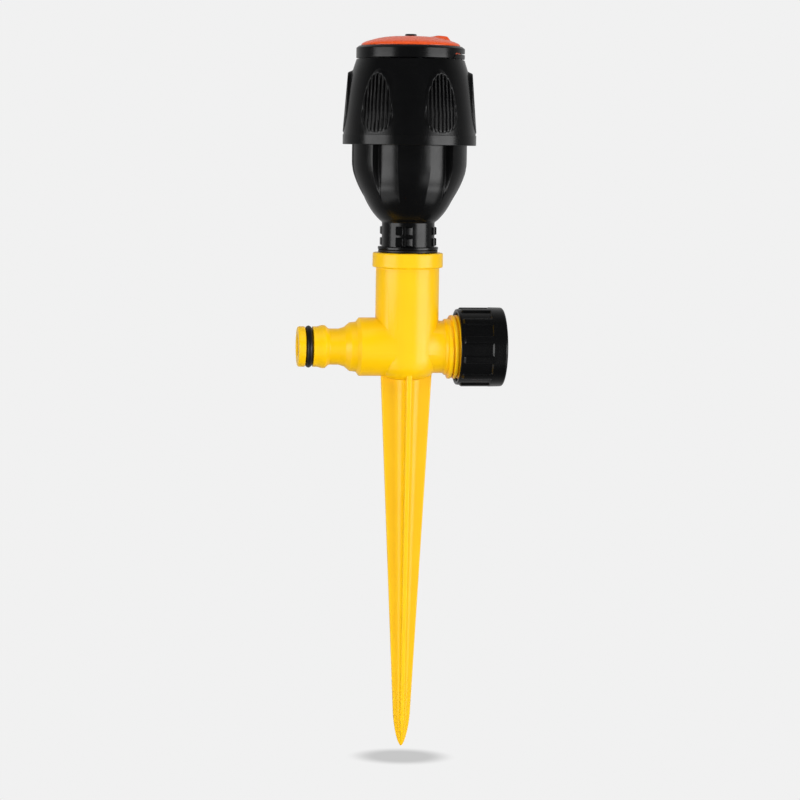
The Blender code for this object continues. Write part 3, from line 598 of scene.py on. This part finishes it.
def make_level_bore():
    """Room inside the barrel, from the outlet's end to the nipple's tip."""
    return along_x(turned("level_bore", rounded([
        (0.0, OUTLET_END_X + 1.0, 0.0), (OUTLET_BORE_R, OUTLET_END_X + 1.0, 0.0),
        (OUTLET_BORE_R, -5.0, 1.0), (NIPPLE_BORE_R, -9.0, 1.0),
        (NIPPLE_BORE_R, NIPPLE_TIP_X + 0.6, 0.0), (5.4, NIPPLE_TIP_X - 0.4, 0.0),
        (0.0, NIPPLE_TIP_X - 0.4, 0.0),
    ])))


def make_spike():
    """The yellow moulding in one piece: socket, barrel, thread and stake, less its two bores."""
    socket = turned("spike_moulding", socket_profile())
    combine(socket, "UNION", make_barrel(), make_outlet_thread(), make_stake())
    combine(socket, "DIFFERENCE", make_upright_bore(), make_level_bore())
    dress(socket, YELLOW, "yellow_plastic", "spike", "spike_body")


def make_nipple_ring():
    """The O-ring, with a thin line of flash round its outside."""
    middle = (RING_LOW_X + RING_HIGH_X) / 2
    section = (RING_HIGH_X - RING_LOW_X) / 2
    mean = RING_R - section
    profile = []
    count = 28
    for step in range(count):
        angle = 2 * math.pi * step / count
        flash = 0.06 * max(0.0, math.cos(angle)) ** 40
        reach = section + flash
        profile.append((mean + reach * math.cos(angle), middle - reach * math.sin(angle)))
    ring = along_x(turned("nipple_seal_ring", profile, closed=True))
    dress(ring, RUBBER, "rubber", "spike", "nipple_o_ring")


# Outlet cap.

def cap_shape(radii, heights, angles):
    """Raise the cap's twelve grip ribs, which run into the plain band at its end."""
    across = np.abs(offset_from(angles, CAP_RIB_SPACING / 2, CAP_RIB_SPACING))
    rib = 1.0 - smooth(across, 4.6, 6.4)
    start = smooth(heights[0], CAP_OPEN_X + 0.9, CAP_OPEN_X + 2.0)
    return np.maximum(radii, CAP_ROOT_R + (CAP_BAND_R - CAP_ROOT_R) * rib * start), heights


def make_cap():
    """The outlet's screw cap: crown, ribbed grip and lip outside, threaded bore and floor inside."""
    angles = ring_angles(1.25)
    bore_r = CAP_BORE_R + 0.25
    crown = rounded([
        (0.0, CAP_END_X, 0.0), (CAP_BAND_R - 0.1, CAP_END_X, 1.1), (CAP_BAND_R, CAP_BAND_X, 0.0),
    ])
    grip = finely([
        (CAP_BAND_R, CAP_BAND_X - 0.1), (CAP_ROOT_R, CAP_BAND_X - 0.8), (CAP_ROOT_R, CAP_OPEN_X + 0.8),
    ], 0.3)
    lip = rounded([
        (CAP_ROOT_R, CAP_OPEN_X + 0.75, 0.0), (CAP_ROOT_R - 0.1, CAP_OPEN_X, 0.5),
        (CAP_BORE_R + 0.8, CAP_OPEN_X, 0.2), (bore_r, CAP_OPEN_X + 0.8, 0.0),
    ])
    bore = finely([(bore_r, CAP_OPEN_X + 0.9), (bore_r, CAP_FLOOR_X - 1.0)], 0.2)
    floor = rounded([
        (bore_r, CAP_FLOOR_X - 0.9, 0.0), (bore_r, CAP_FLOOR_X, 0.4), (0.0, CAP_FLOOR_X, 0.0),
    ])
    inner_thread = thread(OUTLET_PITCH, OUTLET_THREAD_X + OUTLET_PITCH * 2.5, 6, -0.35, 180.0)
    rings = lathe(crown, angles)
    rings += lathe(grip, angles, cap_shape)
    rings += lathe(lip, angles)
    rings += lathe(bore, angles, inner_thread)
    rings += lathe(floor, angles)
    dress(along_x(skin("hose_outlet_cap", rings)), BLACK, "black_plastic", "outlet_cap", "outlet_cap")


def make_cap_washer():
    """The flat washer between the cap's floor and the outlet's end."""
    washer = along_x(turned("cap_washer", rounded_loop([
        (13.4, 36.5, 0.0), (13.4, 35.5, 0.3), (8.6, 35.5, 0.3), (8.6, 37.5, 0.3), (13.4, 37.5, 0.3),
    ]), closed=True))
    dress(washer, RUBBER, "rubber", "cap_washer", "outlet_cap_washer")


# Head: bowl and neck.

def angles_around(edges):
    """Ring angles: a coarse spacing, with a cluster of fine steps at each edge."""
    reach = 1.6
    marks = {round(value, 4) for value in ring_angles(3.0)
             if all(abs(offset_from(value, edge)) > reach for edge in edges)}
    for edge in edges:
        marks.update(round((edge + share * reach) % FULL_TURN, 4)
                     for share in (-0.9, -0.45, -0.18, 0.0, 0.18, 0.45, 0.9))
    return sorted(marks)


def block_edges():
    """Angles of both sides of every raised block."""
    centres = [plan_angle(BLOCK_AZ + HEAD_TURN + BLOCK_SPACING * index) for index in range(BLOCKS)]
    return [centre + side * BLOCK_ARC / 2 for centre in centres for side in (-1, 1)]


def lug_centres():
    """Angles of the lugs, which stand in pairs round the neck."""
    shift = LUG_GAP / 2 + LUG_ARC / 2
    spacing = FULL_TURN / LUG_GROUPS
    middles = [plan_angle(LUG_AZ + HEAD_TURN + spacing * index) for index in range(LUG_GROUPS)]
    return [middle + side * shift for middle in middles for side in (-1, 1)]


def recess_shape(radii, heights, angles):
    """Sink the bowl's surface between the blocks, which melt into its lower part."""
    across = np.abs(offset_from(angles, plan_angle(BLOCK_AZ + HEAD_TURN), BLOCK_SPACING))
    recess = smooth(across, BLOCK_ARC / 2 - 0.75, BLOCK_ARC / 2 + 0.55)
    recess = recess * smooth(heights[0], RECESS_LOW_Z, RECESS_FULL_Z)
    floor = -RECESS_BLEND * np.logaddexp(-radii / RECESS_BLEND, -RECESS_R / RECESS_BLEND)
    return radii + recess * (floor - radii), heights


def lug_shape(radii, heights, angles):
    """Raise the two rows of ratchet lugs on the neck, each face falling off anticlockwise."""
    z = heights[0]
    rows = 0.0
    for foot in LUG_ROWS_Z:
        top = foot + LUG_HEIGHT
        rows += smooth(z, foot, foot + LUG_EDGE) - smooth(z, top, top + LUG_EDGE)
    raised = np.zeros(len(angles))
    for centre in lug_centres():
        across = offset_from(angles, centre)
        lug = 1.0 - smooth(np.abs(across), LUG_ARC / 2 - 0.8, LUG_ARC / 2 + 0.8)
        raised = np.maximum(raised, lug * (LUG_RISE - LUG_SLOPE * across))
    return radii + rows * raised, heights


def make_bowl():
    """The bowl: its mouth and belly, then the neck, flange and stem, then the inside."""
    edges = block_edges()
    for centre in lug_centres():
        edges.extend(centre + side * LUG_ARC / 2 for side in (-1, 1))
    angles = angles_around(edges)
    mouth = finely([(MOUTH_R, BOWL_TOP_Z - 0.6), (MOUTH_R, COLLAR_LOW_Z + 1.2)], 0.3)
    shoulder = [(MOUTH_R, COLLAR_LOW_Z + 1.15), (BLOCK_R - 0.4, COLLAR_LOW_Z + 1.1)]
    belly = flowing([
        (BLOCK_R, COLLAR_LOW_Z + 0.9), (BLOCK_R, 89.5), (23.9, 86.8), (23.25, 83.9), (21.3, 79.1),
        (18.2, 73.6), (15.4, 69.0), (13.1, 66.2), (11.75, 64.9),
    ], 7)
    neck = finely(rounded([
        (11.45, 64.75, 0.0), (NECK_R, 64.2, 0.4), (NECK_R, 54.3, 0.0),
    ]), 0.16)
    flange = rounded([
        (NECK_R, 54.25, 0.0), (12.6, 54.2, 0.3), (12.6, FLANGE_Z, 0.2), (STEM_R, FLANGE_Z, 0.2),
        (STEM_R, FLANGE_Z - 2.2, 0.0),
    ])
    stem = finely([(STEM_R, FLANGE_Z - 2.3), (STEM_R, STEM_LOW_Z + 0.4)], 0.16)
    inside = rounded([
        (9.1, STEM_LOW_Z, 0.0), (7.0, STEM_LOW_Z, 0.3), (7.0, 55.8, 0.3), (8.9, 55.8, 0.3),
        (8.9, 63.6, 0.8), (11.4, 66.8, 1.0), (14.9, 71.6, 2.0), (17.6, 77.0, 2.0),
        (19.0, 80.0, 1.5), (19.1, 96.0, 0.5), (20.9, 98.0, 0.5), (20.9, BOWL_TOP_Z, 0.3),
        (22.6, BOWL_TOP_Z, 0.0),
    ])
    rings = lathe(mouth, angles, thread(COLLAR_PITCH, 100.2, 2, 1.0))
    rings += lathe(shoulder, angles)
    rings += lathe(belly, angles, recess_shape)
    rings += lathe(neck, angles, lug_shape)
    rings += lathe(flange, angles)
    rings += lathe(stem, angles, thread(STEM_PITCH, 38.2, 5, 0.9))
    rings += lathe(inside, angles)
    dress(skin("bowl_housing", rings, closed=True), BLACK, "black_plastic", "head", "head_bowl")


def make_gasket():
    """The flat gasket under the head's flange."""
    top = FLANGE_Z - 0.2
    foot = SOCKET_TOP_Z + 0.2
    gasket = turned("flange_gasket", rounded_loop([
        (12.4, top - 0.31, 0.0), (12.4, foot, 0.2), (10.9, foot, 0.2), (10.9, top, 0.2),
        (12.4, top, 0.2),
    ]), closed=True)
    dress(gasket, RUBBER, "rubber", "gasket", "socket_gasket")


# Head: collar with its grip pads.

def pad_angles():
    """Ring angles for the collar: fine over each pad, coarser between pads."""
    margin = 2.0
    half = PAD_HALF_ARC + margin
    fine = np.arange(-half, half + 0.01, 0.42)
    coarse = np.linspace(half + margin, PAD_SPACING - half - margin, 11)
    marks = []
    for index in range(PADS):
        centre = plan_angle(PAD_AZ + HEAD_TURN + PAD_SPACING * index)
        marks.extend((centre + fine) % FULL_TURN)
        marks.extend((centre + coarse) % FULL_TURN)
    return sorted(round(value, 4) for value in marks)


def pad_shape(radii, heights, angles):
    """Raise the egg-shaped pads, each with a rim and upright grooves."""
    z = heights[0]
    away = offset_from(angles, plan_angle(PAD_AZ + HEAD_TURN), PAD_SPACING)
    length = PAD_UP if z > PAD_WIDEST_Z else PAD_DOWN
    rise = (z - PAD_WIDEST_Z) / length
    egg = np.sqrt((away / PAD_HALF_ARC) ** 2 + np.abs(rise) ** 1.9)
    high_part = smooth(z, PAD_WIDEST_Z - 4.0, PAD_WIDEST_Z + 8.0)
    mask = 1.0 - smooth(egg, 0.94, 1.0)
    inner = 1.0 - smooth(egg, 0.89 - 0.06 * high_part, 0.98 - 0.06 * high_part)
    pad_r = PAD_LOW_R - PAD_LEAN * (z - PAD_LOW_Z)
    proud = np.maximum(pad_r - radii, 0.12)
    across = np.abs(offset_from(away, 0.0, PAD_PITCH))
    groove = 1.0 - smooth(across, 0.35 + 0.25 * high_part, 0.8 + 0.35 * high_part)
    depth = 0.45 + (proud - 0.25) * high_part
    return radii + mask * proud - inner * groove * depth, heights


def make_collar():
    """The collar: its top and padded side, then the foot, the threaded bore and the inside."""
    outer = flowing([
        (22.6, COLLAR_TOP_Z - 0.7), (23.1, 129.2), (24.2, 125.6), (25.3, 120.4), (26.3, 113.5),
        (27.1, 106.5), (27.5, COLLAR_BAND_Z + 0.25),
    ], 13)
    top = rounded([
        (12.2, COLLAR_TOP_Z - 0.4, 0.0), (12.2, COLLAR_TOP_Z, 0.3), (22.45, COLLAR_TOP_Z, 0.5),
        (22.6, COLLAR_TOP_Z - 0.7, 0.0),
    ])[:-1]
    foot = rounded([
        (27.5, COLLAR_BAND_Z + 0.1, 0.0), (COLLAR_R, COLLAR_BAND_Z, 0.15),
        (COLLAR_R, COLLAR_LOW_Z, 0.35), (24.9, COLLAR_LOW_Z, 0.3),
        (COLLAR_BORE_R, COLLAR_LOW_Z + 0.5, 0.2),
    ])
    bore = finely([(COLLAR_BORE_R, COLLAR_LOW_Z + 0.6), (COLLAR_BORE_R, 112.0)], 0.7)
    inside = rounded([
        (COLLAR_BORE_R, 112.2, 0.0), (21.8, 112.2, 0.2), (21.8, 114.0, 0.3), (23.9, 115.0, 0.3),
        (23.4, 120.0, 0.5), (21.4, 128.0, 0.8), (20.4, 129.3, 0.5), (12.2, 129.3, 0.3),
    ])
    angles = pad_angles()
    rings = lathe(top, angles)
    rings += lathe(outer, angles, pad_shape)
    rings += lathe(foot, angles)
    rings += lathe(bore, angles, thread(COLLAR_PITCH, 99.7, 3, -0.8))
    rings += lathe(inside, angles)
    dress(skin("sleeve_collar", rings, closed=True), BLACK, "black_plastic", "collar", "collar")


# Turret.

def make_slit_cutter():
    """A curved bar that cuts the nozzle's slit; both of its ends dip through the lower edge."""
    rings = []
    for azimuth in np.arange(NOZZLE_AZ - SLIT_HALF_ARC, NOZZLE_AZ + SLIT_HALF_ARC + 0.5, 1.0):
        away = abs(azimuth - NOZZLE_AZ)
        low_z = SLIT_Z - SLIT_DIP * smooth(away, SLIT_HALF_ARC - SLIT_END_ARC, SLIT_HALF_ARC)
        high_z = low_z + SLIT_HEIGHT
        section = ((19.5, low_z), (24.0, low_z), (24.0, high_z), (19.5, high_z))
        rings.append(section_at(section, math.radians(plan_angle(azimuth))))
    return swept("slit", rings)


def make_turret():
    """The black ring under the dome, open where the nozzle's slit is."""
    body = turned("turret_ring", rounded([
        (TURRET_WALL_R, 135.0, 0.0), (TURRET_WALL_R, TURRET_TOP_Z, 0.25),
        (TURRET_R - 1.2, TURRET_TOP_Z, 0.3), (TURRET_R, TURRET_TOP_Z - 0.9, 0.5),
        (TURRET_R, TURRET_LOW_Z, 0.3), (9.3, TURRET_LOW_Z, 0.3), (9.3, 133.8, 0.2),
        (10.8, 133.8, 0.2), (10.8, 133.1, 0.2), (TURRET_WALL_R, 133.1, 0.3),
        (TURRET_WALL_R, 134.9, 0.0),
    ]), 2.0, closed=True)
    combine(body, "DIFFERENCE", make_slit_cutter())
    dress(body, BLACK, "black_plastic", "turret", "turret_body")


def make_nozzle_band():
    """The curved band that stands behind the slit."""
    section = ((19.6, SLIT_Z), (20.6, SLIT_Z), (20.6, NOZZLE_TOP_Z), (19.6, NOZZLE_TOP_Z))
    azimuths = np.linspace(NOZZLE_AZ - BAND_HALF_ARC, NOZZLE_AZ + BAND_HALF_ARC, 60)
    return swept("nozzle_band", [section_at(section, math.radians(plan_angle(azimuth)))
                                 for azimuth in azimuths])


def make_nozzle():
    """The orange nozzle: a hollow stem, an arm and a band towards the slit, and a screw boss."""
    stem = turned("nozzle_insert", rounded([
        (0.0, NOZZLE_TOP_Z, 0.0), (6.6, NOZZLE_TOP_Z, 0.5), (6.6, 130.0, 0.4), (5.4, 130.0, 0.3),
        (5.4, 134.6, 0.4), (0.0, 134.6, 0.0),
    ]), 5.0)
    arm = block("nozzle_arm", (14.0, 9.0, 2.2), (12.8, 0.0, 135.1), 0.4, NOZZLE_AZ)
    boss = turned("nozzle_boss", rounded([
        (0.0, 139.0, 0.0), (3.4, 139.0, 0.3), (3.4, 135.8, 0.0), (0.0, 135.8, 0.0),
    ]), 6.0)
    slot = block("nozzle_slot", (20.0, 6.4, 1.0), (12.0, 0.0, 134.5), 0.25, NOZZLE_AZ)
    hole = turned("screw_hole", [(0.0, 140.0), (1.8, 140.0), (1.8, 135.4), (0.0, 135.4)], 10.0)
    combine(stem, "UNION", arm, boss, make_nozzle_band())
    combine(stem, "DIFFERENCE", slot, hole)
    dress(stem, ORANGE, "orange_plastic", "turret", "spray_nozzle")


def dome_shape(radii, heights, angles):
    """Raise the nozzle's hood on the dome's upper side."""
    around = np.radians(offset_from(angles, plan_angle(NOZZLE_AZ)))
    reach = radii * np.cos(around)
    across = np.abs(radii * np.sin(around))
    ridge = smooth(reach, 6.6, 11.5) * (1.0 - smooth(reach, 14.6, 16.6))
    width = 1.0 - smooth(across, 2.6, 4.9)
    crest = 0.65 + 0.115 * np.clip(reach - 8.0, 0.0, 8.0)
    return radii, heights + ridge * width * crest


def make_dome():
    """The orange cap: its domed upper side with the hood, then the rim and the underside."""
    over = finely(flowing([
        (2.0, DOME_TOP_Z), (8.0, 140.85), (13.0, 140.2), (18.0, 138.85), (19.8, 138.1),
    ], 6), 0.22)
    under = rounded([
        (19.9, 138.05, 0.0), (DOME_R, 137.5, 0.5), (DOME_R, DOME_LOW_Z, 0.2), (19.6, DOME_LOW_Z, 0.2),
        (17.4, 137.5, 0.5), (12.6, 138.8, 1.0), (8.0, 139.4, 1.0), (2.0, 139.6, 0.2), (2.0, 140.9, 0.0),
    ])
    angles = ring_angles(1.0)
    dome = skin("dome_cap", lathe(over, angles, dome_shape) + lathe(under, angles), closed=True)
    dress(dome, ORANGE, "orange_plastic", "turret", "turret_cap")


def make_screw():
    """The screw in the middle of the dome, with a cross slot."""
    screw = turned("dome_screw", rounded([
        (0.0, SCREW_TOP_Z, 0.0), (2.2, SCREW_TOP_Z - 0.05, 0.35), (2.6, SCREW_TOP_Z - 0.7, 0.2),
        (1.4, SCREW_TOP_Z - 0.7, 0.1), (1.4, 136.6, 0.3), (0.0, 136.2, 0.0),
    ]), 7.5)
    slots = [block("drive", (3.2, 0.62, 1.0), (0.0, 0.0, SCREW_TOP_Z), 0.08, azimuth)
             for azimuth in (20.0, 110.0)]
    combine(screw, "DIFFERENCE", *slots)
    dress(screw, BLACK, "black_plastic", "turret", "cap_screw")


# Inner pieces that keep their CAD shape.

def finish_cad_nodes():
    """Give the pieces that only the CAD models their own finishes."""
    finishes = {
        GREY: ("inlet_filter", "stator_cup", "gear_case", "gear_case_cover", "riser_housing",
               "riser_tube"),
        WHITE: ("turbine", "idler_gear_lower", "idler_gear_upper", "output_gear",
                "thrust_washer"),
        STEEL: ("turbine_shaft", "idler_pin_lower", "idler_pin_upper"),
        BRASS: ("turbine_pinion", "shaft_bush"),
        RUBBER: ("riser_seal",),
    }
    for material, names in finishes.items():
        for name in names:
            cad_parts[name].material_slots[0].material = material


# Stage: floor, light and camera.

VIEW_AZIMUTH = -8.0
VIEW_DISTANCE = 1.0
VIEW_HEIGHT = 0.096
VIEW_ROLL = 0.8
AIM_SIDE = -0.0024
AIM_HEIGHT = -0.0103
FIELD_WIDTH = 0.3363
SENSOR_WIDTH = 36.0
BACKGROUND = 0.879
WORLD_FRONT = 0.025
WORLD_BACK = 0.5
FLOOR_R = 60.0
FLOOR_THICKNESS = 1.0
FLOOR_GAP = 0.3
SHADOW_TONE = 0.57
SHADOW_PLACE = (-0.0024, -0.017, 0.0)
SHADOW_REACH = (0.0236, 0.0154, 1.0)
LIGHTS_AIM_HEIGHT = -0.01
KEY_SIDE = 59.5
KEY_DISTANCE = 1.6
KEY_WIDTH = 1.33
KEY_LOW_SHARE = 0.4
FILL_DISTANCE = 1.5
FILL_SIZE = 1.5


def neutral(tone):
    """A colour of three equal parts."""
    return (tone, tone, tone)


def make_floor():
    """A disc of the backdrop's own tone, with a soft oval shadow painted under the tip."""
    floor = turned("floor", [(0.0, 0.0), (FLOOR_R, 0.0), (FLOOR_R, -FLOOR_THICKNESS),
                             (0.0, -FLOOR_THICKNESS)])
    floor.location.z = (TIP_Z - FLOOR_GAP) * MM
    material, tree, shader = material_nodes("floor_paint")
    coordinates = tree.nodes.new("ShaderNodeTexCoord")
    mapping = tree.nodes.new("ShaderNodeMapping")
    mapping.vector_type = "TEXTURE"
    mapping.inputs["Location"].default_value = SHADOW_PLACE
    mapping.inputs["Rotation"].default_value = (0.0, 0.0, math.radians(VIEW_AZIMUTH))
    mapping.inputs["Scale"].default_value = SHADOW_REACH
    distance = tree.nodes.new("ShaderNodeVectorMath")
    distance.operation = "LENGTH"
    tree.links.new(coordinates.outputs["Object"], mapping.inputs["Vector"])
    tree.links.new(mapping.outputs["Vector"], distance.inputs[0])
    tone = ramp(tree, distance.outputs["Value"],
                [(0.45, neutral(SHADOW_TONE)), (1.0, neutral(BACKGROUND))])
    tone.node.color_ramp.interpolation = "EASE"
    tree.links.new(tone, shader.inputs["Emission Color"])
    shader.inputs["Emission Strength"].default_value = 1.0
    shader.inputs["Base Color"].default_value = (0.0, 0.0, 0.0, 1.0)
    shader.inputs["Specular IOR Level"].default_value = 0.0
    floor.data.materials.append(material)
    floor.visible_diffuse = False
    floor.visible_glossy = False
    floor.visible_shadow = False


def make_world():
    """An even backdrop to the camera; as a light it is dark in front and brighter behind."""
    world = bpy.data.worlds.new("studio")
    world.use_nodes = True
    tree = world.node_tree
    surface = tree.nodes["Background"]
    surface.inputs["Color"].default_value = (1.0, 1.0, 1.0, 1.0)
    coordinates = tree.nodes.new("ShaderNodeTexCoord")
    facing = tree.nodes.new("ShaderNodeVectorMath")
    facing.operation = "DOT_PRODUCT"
    turn = math.radians(VIEW_AZIMUTH)
    facing.inputs[1].default_value = (-math.sin(turn), math.cos(turn), 0.0)
    tree.links.new(coordinates.outputs["Generated"], facing.inputs[0])
    light = tree.nodes.new("ShaderNodeMapRange")
    light.inputs["From Min"].default_value = -0.1
    light.inputs["From Max"].default_value = 0.8
    light.inputs["To Min"].default_value = WORLD_FRONT
    light.inputs["To Max"].default_value = WORLD_BACK
    tree.links.new(facing.outputs["Value"], light.inputs["Value"])
    path = tree.nodes.new("ShaderNodeLightPath")
    shade = tree.nodes.new("ShaderNodeMapRange")
    shade.inputs["To Max"].default_value = BACKGROUND
    tree.links.new(path.outputs["Is Camera Ray"], shade.inputs["Value"])
    tree.links.new(light.outputs["Result"], shade.inputs["To Min"])
    tree.links.new(shade.outputs["Result"], surface.inputs["Strength"])
    bpy.context.scene.world = world
    bpy.context.scene.view_settings.view_transform = "Standard"


def softbox(name, azimuth, elevation, distance, width, height, power):
    """An area light that faces the object and isn't seen by the camera."""
    light = bpy.data.lights.new(name, "AREA")
    light.shape = "RECTANGLE"
    light.size = width
    light.size_y = height
    light.energy = power
    obj = add_object(name, light)
    a = math.radians(azimuth)
    e = math.radians(elevation)
    away = Vector((math.sin(a) * math.cos(e), -math.cos(a) * math.cos(e), math.sin(e)))
    obj.location = away * distance + Vector((0.0, 0.0, LIGHTS_AIM_HEIGHT))
    obj.rotation_mode = "QUATERNION"
    obj.rotation_quaternion = away.to_track_quat("Z", "Y")
    obj.visible_camera = False
    return obj


def make_lights():
    """On each side a softbox with a dimmer one under it, and three fills that leave no highlight."""
    for name, side, power in (("left", -1, 12.0), ("right", 1, 14.5)):
        azimuth = VIEW_AZIMUTH + side * KEY_SIDE
        softbox("softbox_" + name, azimuth, -1.5, KEY_DISTANCE, KEY_WIDTH, 0.62, power)
        softbox("softbox_low_" + name, azimuth, -28.0, KEY_DISTANCE, KEY_WIDTH, 0.90,
                KEY_LOW_SHARE * power)
    for name, turn, elevation, power in (("fill_top", 0.0, 68.0, 16.0),
                                         ("fill_front", 0.0, -15.0, 11.0),
                                         ("fill_back", 180.0, 15.0, 14.0)):
        fill = softbox(name, VIEW_AZIMUTH + turn, elevation, FILL_DISTANCE, FILL_SIZE, FILL_SIZE, power)
        fill.visible_glossy = False


def make_camera():
    """The camera, aimed a little to the side of the head's axis and rolled a little."""
    data = bpy.data.cameras.new("camera")
    data.sensor_width = SENSOR_WIDTH
    camera = add_object("camera", data)
    a = math.radians(VIEW_AZIMUTH)
    back = Vector((math.sin(a), -math.cos(a), 0.0))
    side = Vector((math.cos(a), math.sin(a), 0.0))
    aim = side * AIM_SIDE + Vector((0.0, 0.0, AIM_HEIGHT))
    camera.location = aim + back * VIEW_DISTANCE + Vector((0.0, 0.0, VIEW_HEIGHT - AIM_HEIGHT))
    away = camera.location - aim
    data.lens = data.sensor_width * away.length / FIELD_WIDTH
    turn = away.to_track_quat("Z", "Y").to_matrix().to_4x4()
    camera.matrix_world = (Matrix.Translation(camera.location) @ turn
                           @ Matrix.Rotation(math.radians(VIEW_ROLL), 4, "Z"))
    bpy.context.scene.camera = camera


make_camera()
make_spike()
make_nipple_ring()
make_cap()
make_cap_washer()
make_bowl()
make_gasket()
make_collar()
make_turret()
make_nozzle()
make_dome()
make_screw()
finish_cad_nodes()
make_floor()
make_world()
make_lights()
